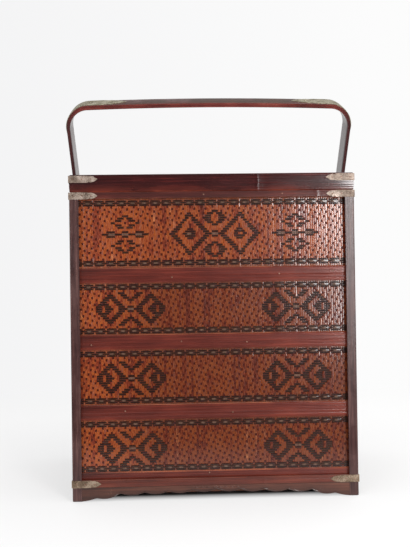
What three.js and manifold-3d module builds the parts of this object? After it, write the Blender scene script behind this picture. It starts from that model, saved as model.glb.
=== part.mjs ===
// A picnic basket: four woven bamboo tiers stack inside a carrying frame of four corner posts,
// a lid closes the top, and a flat bent handle swings on pins in the short sides.
// Millimetres, +Z up. The origin is on the floor in the middle of the footprint,
// +X to the right and -Y to the front.
import * as THREE from 'three';
import { mergeVertices } from 'three/addons/utils/BufferGeometryUtils.js';
import Module from 'manifold-3d';

const wasm = await Module();
wasm.setup();

// Driving dimensions of the carrying frame
const bodyWidth = 390;
const bodyDepth = 270;
const postFace = 12.5;
const postThickness = 5;
const postEdgeRadius = 1.6;
const footCornerRadius = 3;
const stileWidth = 44;
const apronHeight = 19;
const apronThickness = 4.4;
const baseRailHeight = 10;
const railEdgeRadius = 1.2;
const rimRailHeight = 8.8;
const rimOverlap = 0.7;
const boardThickness = 5;
const bearerWidth = 9;
const bearerHeight = 4.5;

// The aprons' scalloped lower edge, measured from the floor. The crests step down from the
// middle to the bracket, which has one long lobe and a toe beside the post.
const apronCrest = 13.6;
const apronStepDown = 0.85;
const apronLobeDepth = 3.3;
const apronLobePitch = 32;
const bracketWidth = 52;
const bracketFallPower = 2.2;
const bracketLobeDepth = 2;
const toeWidth = 20;
const toeCrest = 4.7;
const toeLobeDepth = 0.7;
const toeClearance = 0.6;
const lobeSteps = 6;

// The tiers, from the lowest up: the woven band that shows above each batten
const tierNames = ['tier_4', 'tier_3', 'tier_2', 'tier_1'];
const bandHeights = [68.6, 75, 70.3, 95.4];
const battenHeight = 20.8;
const battenThickness = 3;
const battenEdgeRadius = 1;
const wallThickness = 3;
const slideGap = 0.8;
const lipThickness = 3.5;
const lipRise = 3;
const lipSeat = 6;
const floorRailWidth = 9;
const floorRailHeight = 9;
const floorThickness = 2.5;
const floorLift = 0.5;
const innerPostSide = 8;

// The lid
const lidHeight = 24;
const lidRailThickness = 14;
const lidEdgeRadius = 1.5;
const lidLedgeWidth = 6;
const lidLedgeHeight = 17;
const lidPanelThickness = 3.5;
const lidBattenHeight = 6;
const lidBattenWidth = 22;
const lidBattenSpacing = 130;
const locatorThickness = 4;
const locatorHeight = 6.8;

// The corner plates: a straight part, a neck and a pointed leaf
const plateThickness = 0.8;
const plateReach = 39;
const plateHeight = 9.6;
const plateOverlap = 1;
const leafLength = 13;
const leafNeck = 0.9;
const leafSwell = 0.4;
const leafShoulder = 8;
const leafShoulderInset = 1.5;

// The handle: a flat strap bent into a hoop, measured from its pivot when it stands upright.
// The pivot lies this far below the rim.
const pivotDrop = 18.8;
const handleReach = 179.5;
const handleLean = 24.5;
const strapWidth = 36;
const legThickness = 5.5;
const barThickness = 7;
const barArch = 3;
const legSplay = 4.6;
const legStraight = 56;
const bendRadius = 30;
const bendSteps = 10;
const barSteps = 12;
const strapEdgeRadius = 1.2;
const washerThickness = 0.8;
const washerRadius = 8;
const pinRadius = 3;
const pinHeadRadius = 6.5;
const pinHeadHeight = 2.2;
const pinHeadShoulder = 0.7;
const pinHeadTaper = 0.8;
const runningGap = 0.3;
const handlePlateThickness = 0.8;
const handlePlateWidth = 32;
const handlePlateReach = 84;
const handlePlateDrop = 12;
const handleLeafLength = 34;
const handleLeafShoulder = 10;
const handleLeafShoulderInset = 5;
const handleLeafHollow = 0.75;

const cutAllowance = 2;
const pinSides = 24;

// Clearances between pieces that are cut or mitred to each other
const mitreGap = 0.15;
const fitGap = 0.3;

// Heights and half sizes that follow from the sizes above
const halfWidth = bodyWidth / 2;
const halfDepth = bodyDepth / 2;
const tierHalfWidth = halfWidth - postThickness - slideGap;
const tierHalfDepth = halfDepth - postThickness - slideGap;
const tierHeights = bandHeights.map((band) => band + battenHeight);
const stackBottom = apronHeight;
const stackTop = stackBottom + tierHeights.reduce((sum, height) => sum + height, 0);
const rimBottom = stackTop - rimOverlap;
const rimTop = rimBottom + rimRailHeight;
const pivotHeight = rimBottom - pivotDrop;
const lidTop = rimTop + lidHeight;
const baseRailTop = apronHeight + baseRailHeight;

const colours = {
  post: { color: 0x503a3a, roughness: 0.42, metalness: 0 },
  rail: { color: 0x562a26, roughness: 0.4, metalness: 0 },
  batten: { color: 0x6c362d, roughness: 0.42, metalness: 0 },
  apron: { color: 0x69443b, roughness: 0.5, metalness: 0 },
  lid: { color: 0x4b211f, roughness: 0.35, metalness: 0 },
  weave: { color: 0xa0502f, roughness: 0.4, metalness: 0 },
  inner: { color: 0x7a4a33, roughness: 0.6, metalness: 0 },
  handle: { color: 0x6f3730, roughness: 0.38, metalness: 0 },
  plate: { color: 0x927e72, roughness: 0.45, metalness: 0.8 },
  nail: { color: 0x7d6a5c, roughness: 0.5, metalness: 0.8 },
};

const materials = Object.fromEntries(
  Object.entries(colours).map(([name, look]) => [name, new THREE.MeshStandardMaterial(look)]),
);

// Turns a geometry's triangles so that its faces point outwards.
function facingOut(geometry) {
  const flat = geometry.index ? geometry.toNonIndexed() : geometry;
  const points = flat.attributes.position;
  const corners = [0, 1, 2].map(() => new THREE.Vector3());
  let volume = 0;
  for (let start = 0; start < points.count; start += 3) {
    corners.forEach((corner, offset) => corner.fromBufferAttribute(points, start + offset));
    volume += corners[0].dot(corners[1].clone().cross(corners[2]));
  }
  if (volume < 0) {
    for (let start = 0; start < points.count; start += 3) {
      corners.forEach((corner, offset) => corner.fromBufferAttribute(points, start + offset));
      points.setXYZ(start + 1, corners[2].x, corners[2].y, corners[2].z);
      points.setXYZ(start + 2, corners[1].x, corners[1].y, corners[1].z);
    }
  }
  return bare(flat);
}

// Keeps only the positions, which is all that a solid needs.
function bare(geometry) {
  const result = new THREE.BufferGeometry();
  const flat = geometry.index ? geometry.toNonIndexed() : geometry;
  result.setAttribute('position', flat.attributes.position.clone());
  return result;
}

// Moves every point of a geometry by a rule and keeps its faces outwards.
function mapped(geometry, rule) {
  const result = bare(geometry);
  const points = result.attributes.position;
  for (let i = 0; i < points.count; i += 1) {
    const [x, y, z] = rule(points.getX(i), points.getY(i), points.getZ(i));
    points.setXYZ(i, x, y, z);
  }
  return facingOut(result);
}

function toManifold(geometry) {
  const merged = mergeVertices(bare(geometry), 1e-5);
  const mesh = new wasm.Mesh({
    numProp: 3,
    vertProperties: Float32Array.from(merged.attributes.position.array),
    triVerts: Uint32Array.from(merged.index.array),
  });
  return new wasm.Manifold(mesh);
}

function fromManifold(solid) {
  const mesh = solid.getMesh();
  const geometry = new THREE.BufferGeometry();
  geometry.setAttribute('position', new THREE.BufferAttribute(mesh.vertProperties, 3));
  geometry.setIndex(new THREE.BufferAttribute(mesh.triVerts, 1));
  return bare(geometry);
}

function joined(first, ...others) {
  return fromManifold(others.reduce((solid, other) => solid.add(toManifold(other)), toManifold(first)));
}

function cut(base, ...tools) {
  return fromManifold(tools.reduce((solid, tool) => solid.subtract(toManifold(tool)), toManifold(base)));
}

function common(first, ...others) {
  return fromManifold(
    others.reduce((solid, other) => solid.intersect(toManifold(other)), toManifold(first)),
  );
}

// A box given by its lowest and highest corners.
function block(low, high) {
  const size = high.map((value, axis) => value - low[axis]);
  const middle = high.map((value, axis) => (value + low[axis]) / 2);
  return bare(new THREE.BoxGeometry(...size).translate(...middle));
}

function extruded(shape, depth, curveSegments = 4) {
  return bare(new THREE.ExtrudeGeometry(shape, { depth, bevelEnabled: false, curveSegments }));
}

// A rail's cross-section: x runs inwards from the outer face, y runs up.
function railSection(thickness, height, radius) {
  const shape = new THREE.Shape();
  shape.moveTo(thickness, 0);
  shape.lineTo(thickness, height);
  shape.lineTo(radius, height);
  shape.quadraticCurveTo(0, height, 0, height - radius);
  shape.lineTo(0, radius);
  shape.quadraticCurveTo(0, 0, radius, 0);
  shape.lineTo(thickness, 0);
  return shape;
}

// A straight rail on one side of a rectangle, mitred at both ends.
function mitredRail(side, halfX, halfY, bottom, section, curveSegments = 2) {
  const alongX = side === 'front' || side === 'back';
  const sign = side === 'front' || side === 'left' ? -1 : 1;
  const halfLength = alongX ? halfX : halfY;
  const face = sign * (alongX ? halfY : halfX);
  return mapped(extruded(section, 1, curveSegments), (inwards, up, along) => {
    const end = halfLength - inwards - mitreGap;
    const run = along < 0.5 ? -end : end;
    const across = face - sign * inwards;
    return alongX ? [run, across, bottom + up] : [across, run, bottom + up];
  });
}

const sides = ['front', 'back', 'left', 'right'];

// A closed ring round the same rectangle, in one piece, with the same kind of section.
function closedRing(halfX, halfY, bottom, section, curveSegments = 2) {
  const outline = section.getPoints(curveSegments);
  if (outline[0].distanceTo(outline[outline.length - 1]) < 1e-6) outline.pop();
  const turns = [[-1, -1], [1, -1], [1, 1], [-1, 1]];
  const corner = (turn, point) => {
    const [signX, signY] = turns[turn % turns.length];
    const { x: inwards, y: up } = outline[point % outline.length];
    return [signX * (halfX - inwards), signY * (halfY - inwards), bottom + up];
  };
  const positions = turns.flatMap((_, turn) =>
    outline.flatMap((_point, point) => {
      const [a, b] = [corner(turn, point), corner(turn + 1, point)];
      const [c, d] = [corner(turn + 1, point + 1), corner(turn, point + 1)];
      return [a, b, c, a, c, d].flat();
    }),
  );
  const geometry = new THREE.BufferGeometry();
  geometry.setAttribute('position', new THREE.Float32BufferAttribute(positions, 3));
  return facingOut(geometry);
}

const cornerSigns = { front_left: [-1, -1], front_right: [1, -1], back_left: [-1, 1], back_right: [1, 1] };

// Mirrors a piece that is made for the back right corner.
function atCorner(geometry, [signX, signY]) {
  return mapped(geometry, (x, y, z) => [signX * x, signY * y, z]);
}

// A lathed solid without the flat triangles on its axis.
function solidLathe(geometry) {
  const flat = geometry.toNonIndexed().attributes.position;
  const kept = [];
  for (let start = 0; start < flat.count; start += 3) {
    const corners = [0, 1, 2].map((offset) => new THREE.Vector3().fromBufferAttribute(flat, start + offset));
    const area = corners[1].clone().sub(corners[0]).cross(corners[2].clone().sub(corners[0])).length();
    if (area > 1e-6) corners.forEach((corner) => kept.push(corner.x, corner.y, corner.z));
  }
  const result = new THREE.BufferGeometry();
  result.setAttribute('position', new THREE.Float32BufferAttribute(kept, 3));
  return facingOut(result);
}

// A round bar along X.
function roundAlongX(radius, fromX, toX, y, z, segments = pinSides) {
  const length = Math.abs(toX - fromX);
  const bar = new THREE.CylinderGeometry(radius, radius, length, segments);
  return bare(bar.rotateZ(Math.PI / 2).translate((fromX + toX) / 2, y, z));
}

const basket = new THREE.Group();
basket.name = 'picnic_basket';

function addPiece(parent, name, geometry, material) {
  const mesh = new THREE.Mesh(geometry, material);
  mesh.name = name;
  parent.add(mesh);
  return mesh;
}

// Carrying frame

// An angle-shaped corner post whose foot has rounded outer corners.
function cornerPost(signs) {
  const plan = new THREE.Shape();
  plan.moveTo(halfWidth - postFace, halfDepth);
  plan.lineTo(halfWidth - postEdgeRadius, halfDepth);
  plan.quadraticCurveTo(halfWidth, halfDepth, halfWidth, halfDepth - postEdgeRadius);
  plan.lineTo(halfWidth, halfDepth - postFace);
  plan.lineTo(halfWidth - postThickness, halfDepth - postFace);
  plan.lineTo(halfWidth - postThickness, halfDepth - postThickness);
  plan.lineTo(halfWidth - postFace, halfDepth - postThickness);
  plan.closePath();
  const column = extruded(plan, rimBottom, 3);
  // The outline of the foot, seen along Y and seen along X
  const reach = postFace + cutAllowance;
  const profile = (edge) => {
    const outline = new THREE.Shape();
    outline.moveTo(edge - reach, 0);
    outline.lineTo(edge - footCornerRadius, 0);
    outline.quadraticCurveTo(edge, 0, edge, footCornerRadius);
    outline.lineTo(edge, rimBottom);
    outline.lineTo(edge - reach, rimBottom);
    outline.closePath();
    return extruded(outline, reach + cutAllowance, 3);
  };
  const alongY = mapped(profile(halfWidth), (x, z, y) => [x, halfDepth - reach + y, z]);
  const alongX = mapped(profile(halfDepth), (y, z, x) => [halfWidth - reach + x, y, z]);
  return atCorner(common(column, alongY, alongX), signs);
}

for (const [corner, signs] of Object.entries(cornerSigns)) {
  addPiece(basket, `post_${corner}`, cornerPost(signs), materials.post);
}

// The side stiles stand in the middle of the short sides and carry the handle's pins.
for (const [side, sign] of [['left', -1], ['right', 1]]) {
  const inner = sign * (halfWidth - postThickness);
  const outer = sign * halfWidth;
  const stile = block(
    [Math.min(inner, outer), -stileWidth / 2, baseRailTop],
    [Math.max(inner, outer), stileWidth / 2, rimBottom],
  );
  const hole = roundAlongX(
    pinRadius + fitGap, inner - sign * cutAllowance, outer + sign * cutAllowance, 0, pivotHeight,
  );
  addPiece(basket, `side_stile_${side}`, cut(stile, hole), materials.post);
}

for (const side of sides) {
  const rimSection = railSection(postThickness, rimRailHeight, railEdgeRadius);
  const rimRail = mitredRail(side, halfWidth, halfDepth, rimBottom, rimSection);
  addPiece(basket, `rim_rail_${side}`, rimRail, materials.rail);
}

// A rail or apron between two posts: its clear length, and a rule that puts it on its side.
function betweenPosts(side) {
  const alongX = side === 'front' || side === 'back';
  const sign = side === 'front' || side === 'left' ? -1 : 1;
  const halfRun = (alongX ? halfWidth : halfDepth) - postFace;
  const face = sign * (alongX ? halfDepth : halfWidth);
  const place = (run, inwards, up) =>
    alongX ? [run, face - sign * inwards, up] : [face - sign * inwards, run, up];
  return { halfRun, place };
}

for (const side of sides) {
  const { halfRun, place } = betweenPosts(side);
  const section = railSection(postThickness, baseRailHeight, railEdgeRadius);
  const rail = mapped(extruded(section, 2 * halfRun, 2), (inwards, up, along) =>
    place(along - halfRun, inwards, apronHeight + up),
  );
  addPiece(basket, `base_rail_${side}`, rail, materials.batten);
}

// Half of an apron's lower edge, from its middle to the post, as a list of [run, height].
function apronHalfEdge(halfRun) {
  const edge = [];
  const addLobe = (fromRun, toRun, heightAt) => {
    for (let step = 0; step < lobeSteps; step += 1) {
      const t = step / lobeSteps;
      edge.push([fromRun + (toRun - fromRun) * t, heightAt(t)]);
    }
  };
  const scallopRun = halfRun - bracketWidth;
  const lobes = Math.max(1, Math.round(scallopRun / apronLobePitch));
  const pitch = scallopRun / lobes;
  for (let lobe = 0; lobe < lobes; lobe += 1) {
    const heightAt = (t) =>
      apronCrest - apronStepDown * (lobe + t) - apronLobeDepth * Math.sin(Math.PI * t);
    addLobe(pitch * lobe, pitch * (lobe + 1), heightAt);
  }
  const shoulder = apronCrest - apronStepDown * lobes;
  const toeRun = halfRun - toeWidth;
  const bracketHeight = (t) =>
    toeCrest + (shoulder - toeCrest) * (1 - t) ** bracketFallPower - bracketLobeDepth * Math.sin(Math.PI * t);
  const toeHeight = (t) =>
    toeCrest + (toeClearance - toeCrest) * t - toeLobeDepth * Math.sin(Math.PI * t);
  addLobe(scallopRun, toeRun, bracketHeight);
  addLobe(toeRun, halfRun, toeHeight);
  edge.push([halfRun, toeClearance]);
  return edge;
}

for (const side of sides) {
  const { halfRun, place } = betweenPosts(side);
  const half = apronHalfEdge(halfRun);
  const mirrored = half.slice(1).map(([run, height]) => [-run, height]).reverse();
  const outline = new THREE.Shape();
  outline.moveTo(-halfRun, apronHeight);
  mirrored.concat(half).forEach(([run, height]) => outline.lineTo(run, height));
  outline.lineTo(halfRun, apronHeight);
  outline.closePath();
  const setBack = postThickness - apronThickness;
  const apron = mapped(extruded(outline, apronThickness), (run, up, inwards) =>
    place(run, setBack + inwards, up),
  );
  addPiece(basket, `apron_${side}`, apron, materials.apron);
}

// Two bearers behind the long aprons carry the board that the lowest tier stands on.
const boardBottom = stackBottom - boardThickness;
const innerHalfDepth = halfDepth - postThickness;
const innerHalfWidth = halfWidth - postThickness;
for (const [side, sign] of [['front', -1], ['back', 1]]) {
  const [near, far] = [sign * (innerHalfDepth - bearerWidth), sign * innerHalfDepth].sort((a, b) => a - b);
  const bearer = block(
    [-innerHalfWidth, near, boardBottom - bearerHeight],
    [innerHalfWidth, far, boardBottom],
  );
  addPiece(basket, `base_bearer_${side}`, bearer, materials.inner);
}
const board = block(
  [-innerHalfWidth, -innerHalfDepth, boardBottom],
  [innerHalfWidth, innerHalfDepth, stackBottom],
);
addPiece(basket, 'base_board', board, materials.inner);

// A plate's outline, from beyond the corner to the leaf's point.
function leafOutline(reach, height, overhang) {
  const neck = reach - leafLength;
  const shoulder = neck + leafShoulder;
  const swell = (neck + shoulder) / 2;
  const shape = new THREE.Shape();
  shape.moveTo(-overhang, 0);
  shape.lineTo(neck - leafNeck, 0);
  shape.quadraticCurveTo(neck, 0, neck, leafNeck);
  shape.quadraticCurveTo(swell, -leafSwell, shoulder, leafShoulderInset);
  shape.lineTo(reach, height / 2);
  shape.lineTo(shoulder, height - leafShoulderInset);
  shape.quadraticCurveTo(swell, height + leafSwell, neck, height - leafNeck);
  shape.quadraticCurveTo(neck, height, neck - leafNeck, height);
  shape.lineTo(-overhang, height);
  shape.closePath();
  return shape;
}

// A corner plate bent round the outer corner, made for the back right corner.
function cornerPlate(bottom, signs) {
  const leaf = extruded(leafOutline(plateReach, plateHeight, plateThickness), plateThickness, 2);
  const onBack = mapped(leaf, (along, up, out) => [halfWidth - along, halfDepth + out, bottom + up]);
  const onSide = mapped(leaf, (along, up, out) => [halfWidth + out, halfDepth - along, bottom + up]);
  return atCorner(joined(onBack, onSide), signs);
}

function addPlates(parent, prefix, bottom) {
  for (const [corner, signs] of Object.entries(cornerSigns)) {
    addPiece(parent, `${prefix}_${corner}`, cornerPlate(bottom, signs), materials.plate);
  }
}

const basePlateBottom = apronHeight + (baseRailHeight - plateHeight) / 2;
const rimPlateBottom = rimBottom - plateOverlap;
const lidPlateBottom = lidTop - lidEdgeRadius - plateHeight;
addPlates(basket, 'base_plate', basePlateBottom);
addPlates(basket, 'rim_plate', rimPlateBottom);

// Each pin runs through the handle's leg, a washer and the stile, and has a domed head outside.
const legInner = halfWidth + washerThickness + runningGap;
const legOuter = legInner + legThickness;

function pivotPin(sign) {
  const inner = innerHalfWidth + fitGap;
  const headStart = legOuter + runningGap;
  const profile = [
    new THREE.Vector2(0, inner),
    new THREE.Vector2(pinRadius, inner),
    new THREE.Vector2(pinRadius, headStart),
    new THREE.Vector2(pinHeadRadius, headStart),
    new THREE.Vector2(pinHeadRadius * pinHeadTaper, headStart + pinHeadHeight * pinHeadShoulder),
    new THREE.Vector2(0, headStart + pinHeadHeight),
  ];
  const pin = new THREE.LatheGeometry(profile, pinSides);
  return solidLathe(pin.rotateZ(-sign * Math.PI / 2).translate(0, 0, pivotHeight));
}

function pivotWasher(sign) {
  const outer = halfWidth + washerThickness;
  const disc = roundAlongX(washerRadius, sign * halfWidth, sign * outer, 0, pivotHeight);
  const hole = roundAlongX(
    pinRadius + fitGap, sign * (halfWidth - cutAllowance), sign * (outer + cutAllowance), 0, pivotHeight,
  );
  return cut(disc, hole);
}

for (const [side, sign] of [['left', -1], ['right', 1]]) {
  addPiece(basket, `pivot_pin_${side}`, pivotPin(sign), materials.nail);
  addPiece(basket, `pivot_washer_${side}`, pivotWasher(sign), materials.plate);
}

// Tiers

// A woven box: four walls, and a floor that lies above the lip of the tier below.
const wallHalfWidth = tierHalfWidth - battenThickness;
const wallHalfDepth = tierHalfDepth - battenThickness;
const wallInnerHalfWidth = wallHalfWidth - wallThickness;
const wallInnerHalfDepth = wallHalfDepth - wallThickness;

function tierBox(bottom, top) {
  const floorBottom = bottom + lipRise + floorLift;
  const [reachX, reachY] = [wallInnerHalfWidth, wallInnerHalfDepth];
  const outside = block([-wallHalfWidth, -wallHalfDepth, bottom], [wallHalfWidth, wallHalfDepth, top]);
  const inside = block(
    [-reachX, -reachY, floorBottom + floorThickness],
    [reachX, reachY, top + cutAllowance],
  );
  const underside = block([-reachX, -reachY, bottom - cutAllowance], [reachX, reachY, floorBottom]);
  return cut(outside, inside, underside);
}

// Floor rails, corner posts and the upper lip that locates the next tier, glued into one frame.
function tierInnerFrame(bottom, top) {
  const railBottom = bottom + lipRise + floorLift + floorThickness;
  const frameHalfWidth = wallInnerHalfWidth - fitGap;
  const frameHalfDepth = wallInnerHalfDepth - fitGap;
  const square = (width, height) => railSection(width, height, 0);
  const floorRails = closedRing(
    frameHalfWidth, frameHalfDepth, railBottom, square(floorRailWidth, floorRailHeight), 1,
  );
  const lip = closedRing(
    frameHalfWidth, frameHalfDepth, top - lipSeat, square(lipThickness, lipSeat + lipRise), 1,
  );
  const corner = block(
    [frameHalfWidth - innerPostSide, frameHalfDepth - innerPostSide, railBottom + floorRailHeight / 2],
    [frameHalfWidth, frameHalfDepth, top - lipSeat / 2],
  );
  const corners = Object.values(cornerSigns).map((signs) => atCorner(corner, signs));
  return joined(floorRails, lip, ...corners);
}

tierNames.forEach((name, index) => {
  const bottom = stackBottom + tierHeights.slice(0, index).reduce((sum, height) => sum + height, 0);
  const top = bottom + tierHeights[index];
  const tier = new THREE.Group();
  tier.name = name;
  const battenSection = railSection(battenThickness, battenHeight, battenEdgeRadius);
  const batten = closedRing(tierHalfWidth, tierHalfDepth, bottom, battenSection);
  addPiece(tier, `${name}_woven_box`, tierBox(bottom, top), materials.weave);
  addPiece(tier, `${name}_batten_ring`, batten, materials.batten);
  addPiece(tier, `${name}_inner_frame`, tierInnerFrame(bottom, top), materials.inner);
  basket.add(tier);
});

// Lid

// A lid rail: a rounded bamboo face outside and a ledge inside that carries the woven panel.
function lidSection() {
  const shape = new THREE.Shape();
  const ledge = lidRailThickness - lidLedgeWidth;
  shape.moveTo(lidRailThickness, 0);
  shape.lineTo(lidRailThickness, lidLedgeHeight);
  shape.lineTo(ledge, lidLedgeHeight);
  shape.lineTo(ledge, lidHeight);
  shape.lineTo(lidEdgeRadius, lidHeight);
  shape.quadraticCurveTo(0, lidHeight, 0, lidHeight - lidEdgeRadius);
  shape.lineTo(0, railEdgeRadius);
  shape.quadraticCurveTo(0, 0, railEdgeRadius, 0);
  shape.lineTo(lidRailThickness, 0);
  return shape;
}

const lid = new THREE.Group();
lid.name = 'lid';
for (const side of sides) {
  const rail = mitredRail(side, halfWidth, halfDepth, rimTop, lidSection(), 3);
  addPiece(lid, `lid_rail_${side}`, rail, materials.lid);
}

const panelBottom = rimTop + lidLedgeHeight;
const panelInset = lidRailThickness - lidLedgeWidth + fitGap;
const panelHalfX = halfWidth - panelInset;
const panelHalfY = halfDepth - panelInset;
const lidPanel = block(
  [-panelHalfX, -panelHalfY, panelBottom],
  [panelHalfX, panelHalfY, panelBottom + lidPanelThickness],
);
addPiece(lid, 'lid_panel', lidPanel, materials.weave);

const lidBattenReach = halfDepth - lidRailThickness;
for (const [side, sign] of [['left', -1], ['right', 1]]) {
  const centre = sign * lidBattenSpacing / 2;
  const lidBatten = block(
    [centre - lidBattenWidth / 2, -lidBattenReach, panelBottom - lidBattenHeight],
    [centre + lidBattenWidth / 2, lidBattenReach, panelBottom],
  );
  addPiece(lid, `lid_batten_${side}`, lidBatten, materials.inner);
}

// A frame under the lid's rails drops into the rim.
const locator = closedRing(
  innerHalfWidth - slideGap,
  innerHalfDepth - slideGap,
  rimTop - locatorHeight,
  railSection(locatorThickness, locatorHeight, battenEdgeRadius),
  1,
);
addPiece(lid, 'lid_locating_frame', locator, materials.inner);
addPlates(lid, 'lid_plate', lidPlateBottom);
basket.add(lid);

// Handle, built upright with its pivot at the group's origin, then leant to the front

// The strap's middle line in the XZ plane, with its thickness, from the bar's centre to a pivot.
function strapStations() {
  const legX = legInner + legThickness / 2;
  const bendX = legX + legSplay;
  const barZ = handleReach;
  const stations = [];
  const bendStartX = bendX - bendRadius;
  for (let step = 0; step <= barSteps; step += 1) {
    const t = step / barSteps;
    const sag = barArch * t * t;
    stations.push({ x: bendStartX * t, z: barZ - sag, thickness: barThickness });
  }
  const bendCentreZ = barZ - barArch - bendRadius;
  for (let step = 1; step <= bendSteps; step += 1) {
    const angle = (Math.PI / 2) * (step / bendSteps);
    stations.push({
      x: bendStartX + bendRadius * Math.sin(angle),
      z: bendCentreZ + bendRadius * Math.cos(angle),
      thickness: barThickness + (legThickness - barThickness) * (step / bendSteps),
    });
  }
  stations.push({ x: legX, z: legStraight, thickness: legThickness });
  stations.push({ x: legX, z: -strapWidth / 2, thickness: legThickness });
  return stations;
}

// The normals point out of the hoop.
function withNormals(stations) {
  return stations.map((station, index) => {
    const before = stations[Math.max(0, index - 1)];
    const after = stations[Math.min(stations.length - 1, index + 1)];
    const length = Math.hypot(after.x - before.x, after.z - before.z);
    return { ...station, nx: -(after.z - before.z) / length, nz: (after.x - before.x) / length };
  });
}

const rightHalf = withNormals(strapStations());
rightHalf[0].nx = 0;
rightHalf[0].nz = 1;
rightHalf[rightHalf.length - 1].nx = 1;
rightHalf[rightHalf.length - 1].nz = 0;

// A band that follows the strap between two distances from its middle line.
function bandShape(stations, outerOffset, innerOffset) {
  const outer = stations.map((s) => [s.x + s.nx * outerOffset(s), s.z + s.nz * outerOffset(s)]);
  const inner = stations.map((s) => [s.x + s.nx * innerOffset(s), s.z + s.nz * innerOffset(s)]);
  const points = outer.concat(inner.reverse()).map(([x, z]) => new THREE.Vector2(x, z));
  return new THREE.Shape(points);
}

const leftHalf = rightHalf
  .slice(1)
  .map((s) => ({ ...s, x: -s.x, nx: -s.nx }))
  .reverse();
const hoop = leftHalf.concat(rightHalf);

function handleStrap() {
  const shape = bandShape(hoop, (s) => s.thickness / 2, (s) => -s.thickness / 2);
  const strap = bare(
    new THREE.ExtrudeGeometry(shape, {
      depth: strapWidth - 2 * strapEdgeRadius,
      bevelEnabled: true,
      bevelThickness: strapEdgeRadius,
      bevelSize: strapEdgeRadius,
      bevelOffset: -strapEdgeRadius,
      bevelSegments: 2,
    }),
  );
  const upright = mapped(strap, (x, z, y) => [x, y - strapWidth / 2 + strapEdgeRadius, z]);
  // The side view, with a round lower end about the pivot
  const side = new THREE.Shape();
  const half = strapWidth / 2;
  side.moveTo(-half - cutAllowance, handleReach + barThickness);
  side.lineTo(-half - cutAllowance, 0);
  side.lineTo(-half, 0);
  side.absarc(0, 0, half, Math.PI, 2 * Math.PI, false);
  side.lineTo(half + cutAllowance, 0);
  side.lineTo(half + cutAllowance, handleReach + barThickness);
  side.closePath();
  const reach = legOuter + legSplay + cutAllowance;
  const envelope = mapped(extruded(side, 2 * reach, 10), (y, z, x) => [x - reach, y, z]);
  const holes = [-1, 1].map((sign) =>
    roundAlongX(
      pinRadius + fitGap, sign * (legInner - cutAllowance), sign * (legOuter + cutAllowance), 0, 0,
    ),
  );
  return cut(common(upright, envelope), ...holes);
}

// A thin plate on the outside of a bend, with a pointed leaf end on the bar.
function bendPlate(sign) {
  const bendX = legInner + legThickness / 2 + legSplay;
  const point = bendX - handlePlateReach;
  const bendBottom = handleReach - barArch - bendRadius;
  const nearBar = point - bendRadius;
  const onBend = rightHalf.filter((s) => s.x > nearBar && s.z > bendBottom - handlePlateDrop);
  const lastStation = onBend[onBend.length - 1];
  const stations = onBend.concat({ ...lastStation, z: lastStation.z - handlePlateDrop });
  const inner = (s) => s.thickness / 2 + fitGap;
  const outer = (s) => inner(s) + handlePlateThickness;
  const half = handlePlateWidth / 2;
  const band = extruded(bandShape(stations, outer, inner), handlePlateWidth);
  const upright = mapped(band, (x, z, y) => [x, y - half, z]);
  const leafEnd = point + handleLeafLength;
  const shoulder = leafEnd - handleLeafShoulder;
  const shoulderHalf = half - handleLeafShoulderInset;
  const hollowHalf = shoulderHalf * handleLeafHollow;
  const farEdge = bendX + legThickness + cutAllowance;
  const plan = new THREE.Shape();
  plan.moveTo(point, 0);
  plan.quadraticCurveTo((point + shoulder) / 2, hollowHalf, shoulder, shoulderHalf);
  plan.quadraticCurveTo((shoulder + leafEnd) / 2, half, leafEnd, half);
  plan.lineTo(farEdge, half);
  plan.lineTo(farEdge, -half);
  plan.lineTo(leafEnd, -half);
  plan.quadraticCurveTo((shoulder + leafEnd) / 2, -half, shoulder, -shoulderHalf);
  plan.quadraticCurveTo((point + shoulder) / 2, -hollowHalf, point, 0);
  const toolBottom = bendBottom - 2 * handlePlateDrop;
  const toolHeight = handleReach + barThickness + cutAllowance - toolBottom;
  const tool = mapped(extruded(plan, toolHeight, 4), (x, y, z) => [x, y, toolBottom + z]);
  return mapped(common(upright, tool), (x, y, z) => [sign * x, y, z]);
}

const handle = new THREE.Group();
handle.name = 'handle';
addPiece(handle, 'handle_strap', handleStrap(), materials.handle);
addPiece(handle, 'handle_plate_left', bendPlate(-1), materials.plate);
addPiece(handle, 'handle_plate_right', bendPlate(1), materials.plate);
handle.position.set(0, 0, pivotHeight);
handle.rotation.x = THREE.MathUtils.degToRad(handleLean);
basket.add(handle);

export default basket;
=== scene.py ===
# %% [markdown]
# A picnic basket of lacquered bamboo. Four woven tiers stand on each other inside a carrying
# frame with four corner posts, a lid closes the top, and a flat bent handle swings on two pins.
# The solid model gives every size. This script dresses it: it weaves the walls strip by strip,
# shapes the bamboo slats, the carved aprons, the bent handle and the nails, and mixes a finish
# for each of them. Sizes are written in millimetres, and each mesh is scaled to metres when it
# is made. Only the camera, the floor, the lamps and the finishes are written in metres.

# %% Load the frame
import math

import bpy
import numpy as np
from mathutils import Matrix, Vector


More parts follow.
